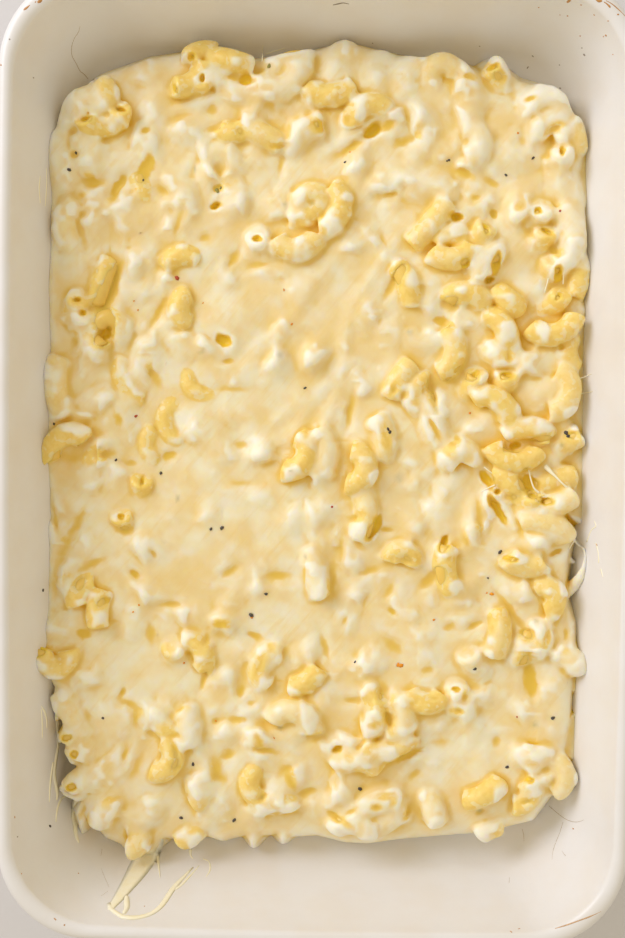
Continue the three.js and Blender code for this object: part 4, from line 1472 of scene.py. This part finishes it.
# Strings and webs of pulled sauce: half a thickness in mm, then for each point of the line a
# point in view, a height in mm over the sauce, and half a width in view units.
STRINGS = [
    (0.25, [(262, 64, 0, 0.7), (262.5, 56, -1, 0.5), (262.5, 51, WALL, 0.5), (263, 45, WALL, 0.2)]),
    (0.1, [(266, 54, WALL, 0.4), (275, 51, WALL, 0.5), (285, 48, WALL, 0.2)]),
    (0.1, [(270, 59, WALL, 0.3), (277, 57, WALL, 0.4), (284, 56, WALL, 0.2)]),
    (0.3, [(549, 275, 1.6, 0.8), (547, 284, 2.6, 0.5), (544, 294, 1.6, 0.8)]),
    (0.3, [(563, 265, 1.2, 0.7), (563.5, 274, 2.2, 0.5), (563, 284, 1.0, 0.7)]),
    (0.25, [(576, 379.5, 0, 0.8), (583, 377.5, 0, 0.45), (589, 375, WALL, 0.4),
            (592, 374, WALL, 0.1)]),
    (0.25, [(577, 395, -1, 0.8), (584, 393, -1, 0.45), (591, 392, WALL, 0.4),
            (593, 391, WALL, 0.1)]),
    (0.3, [(484, 467, 2.0, 0.8), (489, 471, 2.6, 0.5), (495, 475, 2.0, 0.9)]),
    (0.3, [(495, 485, 1.8, 0.8), (488, 488, 2.0, 0.5), (482, 491.5, 1.0, 0.9)]),
    (0.5, [(528, 468, 2.0, 1.2), (529, 471, 2.6, 0.8), (531, 480, 3.2, 0.7), (534, 488, 3.0, 0.9),
           (539, 493, 2.0, 1.6)]),
    (0.6, [(545, 466, 1.4, 2.6), (549, 470, 2.4, 2.2), (556, 477, 3.2, 1.2), (563, 484, 3.2, 1.0),
           (571, 491, 1.6, 1.6)]),
    (0.4, [(539, 496, 2.0, 1.0), (541, 496.5, 2.6, 0.8), (546, 497, 2.8, 0.7),
           (552, 497, 1.8, 1.0)]),
    (0.25, [(568.5, 551, -2, 0.5), (571, 546, -1, 0.5), (574, 541, -0.5, 0.7)]),
    (0.12, [(596, 543, WALL, 0.5), (597, 547, WALL, 1.0), (598.5, 553, WALL, 0.5),
            (599, 561, WALL, 0.8), (598.5, 563, WALL, 0.3)]),
    (0.12, [(594.5, 521, WALL, 0.3), (596, 526, WALL, 0.8), (592.5, 529, WALL, 0.7),
            (590, 533, WALL, 0.8), (587, 542, WALL, 0.7)]),
    (0.12, [(601, 569, WALL, 0.6), (602, 573, WALL, 0.7), (603, 577, WALL, 0.3)]),
    (0.3, [(56.5, 712, -4.5, 1.4), (57.5, 724, -7, 1.7), (58.5, 736, -9, 1.9),
           (57.5, 746, WALL, 2.0), (56, 756, WALL, 2.2), (54.5, 766, WALL, 2.6),
           (54, 776, WALL, 3.0), (56, 786, WALL, 3.2), (57, 794, WALL, 2.0), (56, 800, WALL, 0.6)]),
    (0.2, [(53, 762, WALL, 1.2), (51, 774, WALL, 1.6), (49.5, 788, WALL, 1.2),
           (49, 802, WALL, 0.3)]),
    (0.3, [(70, 794.5, -6.5, 1.6), (65, 796, -10, 1.2), (60.5, 799.5, WALL, 1.2),
           (57.5, 806, WALL, 1.0), (56, 814, WALL, 0.7), (55.5, 822, WALL, 0.2)]),
    (0.28, [(80, 798, -6, 5.5), (77, 806, -9, 5.5), (75.5, 816, -12, 4.6), (75, 826, WALL, 3.6),
            (76, 836, WALL, 2.6), (78.5, 843, WALL, 0.8)]),
    (0.15, [(41, 706, WALL, 0.4), (44.5, 712, WALL, 1.8), (46.5, 720, WALL, 1.2),
            (46.5, 728, WALL, 0.3)]),
    (0.15, [(41, 709, WALL, 0.5), (42, 722, WALL, 1.0), (42, 738, WALL, 0.3)]),
    (0.12, [(40, 176, WALL, 0.4), (39, 188, WALL, 0.9), (40, 203, WALL, 0.3)]),
    (0.12, [(46, 168, WALL, 0.3), (46.5, 184, WALL, 0.7), (45, 206, WALL, 0.3)]),
    (0.25, [(153, 836, -2, 12.0), (150, 847, -6, 12.5), (146, 857, -12, 13.0),
            (140, 867, WALL, 12.0), (133, 878, WALL, 10.0), (126, 888, WALL, 8.0),
            (119.5, 897, WALL, 6.2), (114, 904, WALL, 4.6), (110, 910, WALL, 2.8)]),
    (0.6, [(126.5, 898, WALL, 2.4), (126.5, 903, WALL, 3.2), (126.5, 909, WALL, 2.8),
           (124, 914, WALL, 2.0)]),
    (0.32, [(109, 904, WALL, 2.4), (111, 909, WALL, 2.6), (116, 913, WALL, 2.4),
            (123, 917, WALL, 3.0), (132, 918, WALL, 3.6), (142, 917, WALL, 2.8),
            (152, 913.5, WALL, 2.7), (160, 907.5, WALL, 3.0), (166, 899.5, WALL, 3.2),
            (171.5, 891, WALL, 3.2), (177, 884, WALL, 2.8), (184, 877, WALL, 2.0),
            (193, 868, WALL, 0.5)]),
    (0.3, [(160, 843, -5, 3.0), (158, 852, -12, 2.2), (158, 861, WALL, 1.7), (159, 869, WALL, 1.0),
           (160, 878, WALL, 0.2)]),
    (0.2, [(190.5, 843, -5, 2.2), (190.5, 849, WALL, 2.0), (190.5, 855, WALL, 1.2),
           (193, 859, WALL, 0.3)]),
    (0.12, [(203, 859, WALL, 0.3), (209, 862, WALL, 0.7), (210, 870, WALL, 1.0),
            (206, 877, WALL, 0.3)]),
    (0.12, [(171, 892, WALL, 1.0), (180, 886, WALL, 1.6), (190, 876, WALL, 1.2),
            (199, 866, WALL, 0.3)]),
]

# Marks on the glaze, by colour: for each point of a line a point in view and half a width in
# view units. "brown" is fat baked on, "stain" a paler one, "line" a crack, "grey" a scuff.
MARKS = {
    "brown": [
        [(23.5, 10, 0.5), (26, 8.3, 1.1), (30, 5, 0.3)],
        [(37.5, 2.5, 0.8), (40, 1, 1.6), (42, 0, 0.8)],
        [(35, 2.5, 0.5), (36, 1.5, 0.5)],
        [(12.5, 17.5, 1.0), (14, 14, 0.5)],
        [(2.5, 25, 0.4), (3.5, 24, 0.7), (4, 23, 0.3)],
        [(1.5, 39, 0.5), (3.5, 36, 0.5)],
        [(0.5, 64.5, 1.0), (1.6, 65.5, 0.6)],
        [(567, 2.5, 1.0), (569, 1, 1.3), (570.5, -1, 0.8)],
        [(596, -1, 0.9), (599, 0.5, 1.6), (602, 1, 0.8)],
        [(604, 2, 0.4), (607, 4, 0.6), (609.5, 6.5, 0.9), (610, 8, 0.3)],
        [(606, 0.5, 0.3), (612, 4, 0.5), (618, 9, 0.6), (625, 16, 0.4)],
        [(538, 7.5, 0.9), (539.5, 7.5, 0.5)],
        [(559.5, 15, 0.6), (560.5, 15, 0.5)],
        [(567, 15.5, 1.0), (568, 16.5, 0.7)],
        [(580.5, 5, 0.8), (582, 5, 0.4)],
        [(593.5, 14.5, 0.6), (594.8, 15.5, 0.6)],
        [(579.5, 36, 0.5), (580.8, 36, 0.7)],
        [(603, 36, 0.7), (603.8, 37.2, 0.5)],
        [(605, 35, 0.8), (606.6, 36, 1.1)],
        [(617, 14.5, 0.6), (619, 14.5, 0.8)],
        [(607.5, 21, 0.6), (609, 21, 0.4)],
        [(612.5, 54.5, 0.6), (613.4, 54.5, 0.3)],
        [(14.6, 816, 0.5), (15, 818, 0.8)],
        [(21, 873.5, 0.7), (22, 874, 0.5)],
        [(64, 924.5, 0.7), (64.8, 925.5, 0.8)],
        [(54, 918, 0.4), (56, 920, 0.7)],
        [(510, 931, 0.6), (512, 932.5, 0.8)],
        [(518, 929, 0.4), (520, 928.5, 0.6)],
        [(596.5, 544, 0.8), (597.2, 546, 0.8)],
        [(572.5, 828.5, 0.7), (574, 829, 0.5)],
        [(78, 873, 0.7), (79, 873.5, 0.6)],
        [(144, 906, 0.7), (145, 906.3, 0.5)],
    ],
    "stain": [
        [(555, 928.5, 0.3), (565, 925.5, 0.7), (578, 921, 0.6), (590, 916.5, 0.7),
         (601, 911.5, 0.3)],
    ],
    "line": [
        [(80, 26, 0.08), (78.5, 32, 0.22), (74.5, 38, 0.25), (72, 45, 0.25), (71.5, 53, 0.25),
         (73, 58, 0.25), (77, 65, 0.25), (80, 71, 0.28), (84.5, 74.5, 0.28), (88, 79, 0.22)],
        [(549, 806, 0.22), (556, 812, 0.22), (563, 817.5, 0.22), (570, 821, 0.22), (577, 822, 0.22),
         (584, 820, 0.08)],
        [(563, 822, 0.17), (560, 832, 0.19), (556, 842, 0.19), (553, 851, 0.17), (552, 860, 0.08)],
        [(522, 829, 0.17), (523.5, 834, 0.19), (524, 841, 0.08)],
        [(102, 849, 0.17), (101, 856, 0.08)],
        [(101, 868, 0.08), (105, 878, 0.14), (109, 887, 0.08)],
        [(101, 896, 0.11), (108, 891, 0.08)],
        [(562, 851, 0.11), (565.5, 856, 0.22)],
        [(509.5, 877, 0.11), (509, 883, 0.17)],
    ],
    "grey": [
        [(9, 39.5, 0.8), (10.2, 39, 0.6)],
        [(33, 77.5, 0.6), (34, 78, 0.6)],
        [(17, 837, 0.7), (18, 836.5, 0.6)],
        [(559.5, 88, 0.7), (561, 88.5, 0.6)],
        [(532, 55.5, 0.8), (533.5, 57, 0.6)],
        [(527, 68.5, 0.6), (528.5, 66.5, 0.6)],
        [(583.5, 54, 1.2), (585, 56, 0.8)],
        [(559, 65, 0.7), (560, 65, 0.5)],
        [(581.5, 48, 0.8), (582.5, 48, 0.4)],
        [(479, 46, 0.6), (480, 46.5, 0.6)],
        [(372, 43, 0.6), (373, 43.5, 0.5)],
        [(333, 5, 0.6), (338, 4, 1.0), (343, 3, 0.8), (349, 4, 0.4)],
    ],
}

# Specks on the sauce: what they are, then a point in view and a size in view units.
SPECKS = {
    "pepper": [
        (76, 153, 3.9), (69, 170, 4.9), (143, 180, 3.9), (345, 162, 3.9), (533, 158, 4.9),
        (506, 175, 3.9), (449, 160, 3.2), (54, 424, 3.9), (305, 388, 3.9), (388, 429, 4.9),
        (390, 432, 4.9), (566, 433, 5.6), (568, 436, 4.9), (161, 473, 3.9), (116, 460, 3.9),
        (43, 590, 4.9), (211, 529, 3.9), (222, 528, 5.6), (266, 594, 4.9), (251, 615, 7.7),
        (355, 662, 3.9), (500, 552, 5.6), (488, 578, 3.2), (475, 669, 4.9), (103, 718, 3.9),
        (193, 764, 4.9), (181, 818, 4.9), (360, 789, 6.3), (234, 820, 6.3), (553, 718, 5.6),
        (507, 767, 4.9), (111, 321, 4.9), (50, 826, 4.9), (447, 161, 2.6),
    ],
    "red": [
        (177, 278, 5.8), (136, 416, 4.3), (332, 507, 3.6), (560, 211, 3.6), (517, 717, 2.9),
    ],
    "orange": [
        (350, 152, 2.9), (518, 133, 2.9), (284, 290, 3.6), (292, 324, 3.6), (203, 303, 2.9),
        (138, 310, 2.9), (134, 301, 2.2), (492, 594, 5.8), (487, 593, 2.9), (434, 620, 3.6),
        (398, 665, 5.8), (401, 665.5, 5.8), (184, 663, 2.9), (139, 605, 2.9), (133, 612, 2.9),
        (274, 738, 2.9), (216, 721, 2.9), (470, 413, 3.6), (252, 617, 4.3),
    ],
    "herb": [
        (217, 190, 7.2), (221, 188, 4.3), (269, 66, 7.2), (218, 192, 4.3),
    ],
}

# Pepper that lies under the surface and only shades it: a point in view and a radius.
SUNKEN = [
    (195, 170, 4), (561, 445, 4), (101, 447, 4), (178, 499, 3), (165, 541, 3), (258, 537, 4),
    (306, 557, 3), (535, 620, 4), (535, 725, 5), (280, 727, 4), (480, 812, 5), (285, 205, 4),
    (409, 333, 4), (204, 351, 4), (280, 355, 7), (313, 205, 3), (291, 470, 4), (400, 478, 5),
]


def strike(ob, u, v):
    """Where the line of sight through a point in view meets an object, and its normal there."""
    start = Vector(EYE)
    ray = Vector(sight_line(u, v).tolist())
    hit, place, normal, _ = ob.ray_cast(start, ray.normalized())
    return (np.array(place), np.array(normal)) if hit else None


def model_strand():
    """A closed six-sided rod along X from 0 to 1, with a ring at every twentieth."""
    clean_slate()
    bpy.ops.mesh.primitive_circle_add(vertices=6, radius=1, rotation=(0, math.pi / 2, 0))
    ob = bpy.context.object
    bpy.ops.object.transform_apply(location=True, rotation=True, scale=True)
    bpy.ops.object.mode_set(mode="EDIT")
    bpy.ops.mesh.select_all(action="SELECT")
    bpy.ops.mesh.edge_face_add()
    for _ in range(20):
        bpy.ops.mesh.extrude_region_move(TRANSFORM_OT_translate={"value": (0.05, 0, 0)})
    bpy.ops.mesh.select_all(action="SELECT")
    bpy.ops.mesh.normals_make_consistent(inside=False)
    bpy.ops.object.mode_set(mode="OBJECT")
    return taken_apart(ob)


def smooth_line(points, share):
    """Places along a chain of points, rounded off, at shares of its length from 0 to 1."""
    points = np.array(points, float)
    ends = [2 * points[0] - points[1], *points, 2 * points[-1] - points[-2]]
    at = np.clip(share, 0, 1) * (len(points) - 1)
    i = np.minimum(at.astype(int), len(points) - 2)
    t = (at - i)[:, None]
    p = np.array(ends)
    a, b, c, d = p[i], p[i + 1], p[i + 2], p[i + 3]
    bends = (2 * a - 5 * b + 4 * c - d) * t**2 + (3 * b - a - 3 * c + d) * t**3
    return 0.5 * (2 * b + (c - a) * t + bends)


def bend_strand(verts, line, normals, widths, thickness):
    """The rod's vertices bent along a line, flattened to a thickness along the normals."""
    centre = smooth_line(line, verts[:, 0])
    ahead = smooth_line(line, verts[:, 0] + 0.01) - smooth_line(line, verts[:, 0] - 0.01)
    ahead /= np.linalg.norm(ahead, axis=1)[:, None] + 1e-12
    normal = smooth_line(normals, verts[:, 0])
    side = np.cross(normal, ahead)
    side /= np.linalg.norm(side, axis=1)[:, None] + 1e-12
    up = np.cross(ahead, side)
    width = np.maximum(smooth_line([[w] for w in widths], verts[:, 0]), 0.02 * MM)
    height = np.minimum(width, thickness)
    return centre + side * width * verts[:, 1:2] + up * height * verts[:, 2:3]


def settled(dish, place, lift, always):
    """Moves a place onto the dish along its line of sight, if it lies behind it or always."""
    start = Vector(EYE)
    ray = Vector(place.tolist()) - start
    hit, spot, normal, _ = dish.ray_cast(start, ray.normalized())
    if hit and (always or (spot - start).length < ray.length):
        return np.array(spot) + lift * np.array(normal)
    return place


def string_mesh(food, dish):
    """Every string and web, each a copy of the rod. What lies on the dish follows its surface."""
    rod, sides = model_strand()
    share, tops = rod[:, 0], rod[:, 2]
    points, faces = [], []
    for thickness, row in STRINGS:
        line, normals, widths = [], [], []
        for u, v, rise, width in row:
            if rise is WALL:
                place, normal = strike(dish, u, v)
                place = place + 0.25 * min(thickness * MM, width * UNIT) * normal
            else:
                x, y = seen(u, v, food.level)
                z = level_at(food, x, y) + rise * MM
                x, y = seen(u, v, z)
                place, normal = np.array([x, y, z]), np.array([0.0, 0.0, 1.0])
            line.append(place)
            normals.append(normal)
            widths.append(width * UNIT)
        bent = bend_strand(rod, line, normals, widths, thickness * MM)
        laid = np.array([rise is WALL for _, _, rise, _ in row])
        at = np.minimum((share * (len(row) - 1) + 1e-6).astype(int), len(row) - 2)
        laid = laid[at] & laid[at + 1]
        lift = np.where(tops > 0.1, thickness, np.where(tops < -0.1, -0.15, 0.0)) * MM
        bent = [settled(dish, p, up, on) for p, up, on in zip(bent, lift, laid)]
        add_copy(points, faces, bent, sides)
    return points, faces


def mark_mesh(dish, rows):
    """Marks on the glaze, as the thinnest of strands that hug it."""
    rod, sides = model_strand()
    points, faces = [], []
    for row in rows:
        found = [(strike(dish, u, v), width * UNIT) for u, v, width in row]
        found = [(*hit, width) for hit, width in found if hit is not None]
        if len(found) < 2:
            continue
        line, normals, widths = zip(*found)
        add_copy(points, faces, bend_strand(rod, line, normals, widths, 0.08 * MM), sides)
    return points, faces


def speck_mesh(food, spots, surfaces, thin, seed):
    """Grains, each a copy of a low ball that is squashed, dented and turned at random."""
    clean_slate()
    bpy.ops.mesh.primitive_ico_sphere_add(subdivisions=1, radius=1)
    ball, sides = taken_apart(bpy.context.object)
    rng = np.random.default_rng(food.seed + seed)
    points, faces = [], []
    for u, v, size in spots:
        hit = next(filter(None, (strike(ob, u, v) for ob in surfaces)), None)
        dented = ball * rng.uniform(0.7, 1.15, (len(ball), 1))
        spin = rng.uniform(0, 2 * math.pi)
        long = rng.uniform(0.55, 0.9)
        if hit is None:
            continue
        place, normal = hit
        first = np.cross(normal, [math.cos(spin), math.sin(spin), 0.2])
        first /= np.linalg.norm(first)
        second = np.cross(normal, first)
        half = size * UNIT / 2
        shape = dented * np.array([half, half * long, max(half * thin, 0.15 * MM)])
        add_copy(points, faces, place + shape @ np.array([first, second, normal]), sides)
    return points, faces


# ------------------------------------------------------------------ operators


class BAKE_OT_dish(Operator):
    """Add the glazed stoneware dish"""

    bl_idname = "bake.dish"
    bl_label = "Add the Dish"

    def execute(self, context):
        dish = context.scene.bake_dish
        ob = model_dish(DishForm(dish), dish)
        ob.data.materials.append(stoneware_glaze(context.scene.bake_look))
        place_piece(ob, DISH_NODE)
        return {"FINISHED"}


class BAKE_OT_food(Operator):
    """Add the cheese sauce and the macaroni in it"""

    bl_idname = "bake.food"
    bl_label = "Add the Food"

    def execute(self, context):
        food, look = context.scene.bake_food, context.scene.bake_look
        form = DishForm(context.scene.bake_dish)
        shown = shown_elbows(food)
        hidden = hidden_elbows(food, shown)
        grid, body, pasta, cavity, deep = sauce_fields(form, food, shown + hidden)
        skin = np.logical_and.reduce(corner_views(cavity > body))
        points, quads = surface_net(grid, np.maximum(body, cavity), skin)
        points, extra = add_skirt(form, points, quads)
        ob = mesh_object("cheese_sauce", points, [*quads.tolist(), *extra], cheese_sauce(look))
        thin_out(ob, food.triangles)
        points = np.empty(3 * len(ob.data.vertices))
        ob.data.vertices.foreach_get("co", points)
        points = points.reshape(-1, 3)
        # The crease value, from a blurred field: above zero in hollows, below zero on ridges. The sauce's
        # material paints shade in hollows and sheen on ridges from it.
        near = np.clip(body, -3 * MM, 3 * MM)
        hollow = near - blurred(near, 1, 4)
        hollow = np.where(np.abs(near) < 2 * MM, hollow, 0)
        for name, field in (("film", pasta), ("deep", deep), ("crease", hollow)):
            add_float(ob, name, grid.sample(field, points))
        shade = [
            bell(points[:, 0], points[:, 1], seen(u, v, food.level), 0.6 * (radius * UNIT))
            for u, v, radius in SUNKEN
        ]
        add_float(ob, "sunken", 0.6 * np.max(shade, axis=0))
        place_piece(ob, FOOD_NODE)
        points, quads = pasta_mesh(food, shown)
        ob = mesh_object("macaroni", points, quads, cooked_pasta(look))
        place_piece(ob)
        return {"FINISHED"}


class BAKE_OT_strings(Operator):
    """Add the strings and webs of cheese sauce"""

    bl_idname = "bake.strings"
    bl_label = "Add the Cheese Strings"

    def execute(self, context):
        food, look = context.scene.bake_food, context.scene.bake_look
        context.view_layer.update()
        points, faces = string_mesh(food, bpy.data.objects["stoneware_dish"])
        ob = mesh_object("cheese_strings", points, faces, pulled_sauce(look))
        place_piece(ob)
        return {"FINISHED"}


class BAKE_OT_specks(Operator):
    """Add the pepper, the spice flakes and the herb shreds"""

    bl_idname = "bake.specks"
    bl_label = "Add the Pepper and Spice"

    def execute(self, context):
        food, look = context.scene.bake_food, context.scene.bake_look
        context.view_layer.update()
        surfaces = [bpy.data.objects["cheese_sauce"], bpy.data.objects["stoneware_dish"]]
        kinds = (
            ("pepper", "pepper_grains", look.pepper, 0.6),
            ("red", "red_flakes", look.red, 0.25),
            ("orange", "orange_flakes", look.orange, 0.25),
            ("herb", "herb_shreds", look.herb, 0.25),
        )
        for seed, (kind, name, colour, thin) in enumerate(kinds):
            points, faces = speck_mesh(food, SPECKS[kind], surfaces, thin, seed + 5)
            ob = mesh_object(name, points, faces, speck_finish(name, colour))
            place_piece(ob)
        return {"FINISHED"}


class BAKE_OT_marks(Operator):
    """Add the baked-on marks, cracks and scuffs on the glaze"""

    bl_idname = "bake.marks"
    bl_label = "Add the Marks on the Glaze"

    def execute(self, context):
        look = context.scene.bake_look
        context.view_layer.update()
        dish = bpy.data.objects["stoneware_dish"]
        kinds = (
            ("brown", "baked_on_marks", look.baked),
            ("stain", "pale_stains", look.stain),
            ("line", "glaze_cracks", look.line),
            ("grey", "glaze_scuffs", look.scuff),
        )
        for kind, name, colour in kinds:
            points, faces = mark_mesh(dish, MARKS[kind])
            ob = mesh_object(name, points, faces, speck_finish(name, colour, 0.35))
            place_piece(ob)
        return {"FINISHED"}


FLOOR_SIZE = 14
ROOM_COLOUR = (1.0, 0.885, 0.68, 1)
ROOM_STRENGTH = 0.71
KEY_PLACE = (-1.12, 0.86, 0.84)
KEY_AIM = (-0.08, 0.14, 0.03)
KEY_CONE = math.radians(58)
KEY_RADIUS = 0.56
KEY_ENERGY = 72
KEY_COLOUR = (0.975, 1.0, 1.11)


class BAKE_OT_stage(Operator):
    """Add the floor, the lights and the camera"""

    bl_idname = "bake.stage"
    bl_label = "Add the Stage"

    def execute(self, context):
        look = context.scene.bake_look
        clean_slate()
        bpy.ops.mesh.primitive_plane_add(size=FLOOR_SIZE, location=(0, 0, 0))
        floor = context.object
        floor.name = floor.data.name = "floor"
        floor.data.materials.append(plain_floor(look))
        world = bpy.data.worlds.new("studio")
        context.scene.world = world
        world.use_nodes = True
        background = world.node_tree.nodes["Background"]
        background.inputs["Color"].default_value = ROOM_COLOUR
        background.inputs["Strength"].default_value = ROOM_STRENGTH
        bpy.ops.object.light_add(type="SPOT", location=KEY_PLACE)
        key = context.object
        key.name = key.data.name = "window_light"
        key.data.spot_size = KEY_CONE
        key.data.spot_blend = 1.0
        key.data.shadow_soft_size = KEY_RADIUS
        key.data.energy = KEY_ENERGY
        key.data.color = KEY_COLOUR
        aim = Vector(KEY_AIM) - key.location
        key.rotation_euler = aim.to_track_quat("-Z", "Y").to_euler()
        add_camera(context.scene)
        context.scene.view_settings.view_transform = "Standard"
        return {"FINISHED"}


def add_camera(scene):
    """A camera almost straight above the dish."""
    data = bpy.data.cameras.new("camera")
    camera = bpy.data.objects.new("camera", data)
    scene.collection.objects.link(camera)
    scene.camera = camera
    data.sensor_fit = "AUTO"
    data.sensor_width = SENSOR
    data.lens = LENS
    camera.location = EYE
    camera.rotation_euler = EYE_TURN
    return camera


class BAKE_PT_panel(Panel):
    """Buttons for each step, in the 3D view's sidebar"""

    bl_label = "Macaroni and Cheese"
    bl_idname = "BAKE_PT_panel"
    bl_space_type = "VIEW_3D"
    bl_region_type = "UI"
    bl_category = "Bake"

    def draw(self, context):
        for settings in (context.scene.bake_dish, context.scene.bake_food, context.scene.bake_look):
            box = self.layout.box()
            for key in settings.__annotations__:
                box.prop(settings, key)
        for step in STEPS:
            self.layout.operator(step.bl_idname)


STEPS = (
    BAKE_OT_dish,
    BAKE_OT_marks,
    BAKE_OT_food,
    BAKE_OT_strings,
    BAKE_OT_specks,
    BAKE_OT_stage,
)
CLASSES = (DishSettings, FoodSettings, LookSettings, *STEPS, BAKE_PT_panel)


def register():
    for cls in CLASSES:
        bpy.utils.register_class(cls)
    bpy.types.Scene.bake_dish = PointerProperty(type=DishSettings)
    bpy.types.Scene.bake_food = PointerProperty(type=FoodSettings)
    bpy.types.Scene.bake_look = PointerProperty(type=LookSettings)


def unregister():
    del bpy.types.Scene.bake_look
    del bpy.types.Scene.bake_food
    del bpy.types.Scene.bake_dish
    for cls in reversed(CLASSES):
        bpy.utils.unregister_class(cls)


def main():
    register()
    bpy.ops.bake.dish()
    bpy.ops.bake.marks()
    bpy.ops.bake.food()
    bpy.ops.bake.strings()
    bpy.ops.bake.specks()
    bpy.ops.bake.stage()
    bpy.context.view_layer.update()


if __name__ == "__main__":
    main()
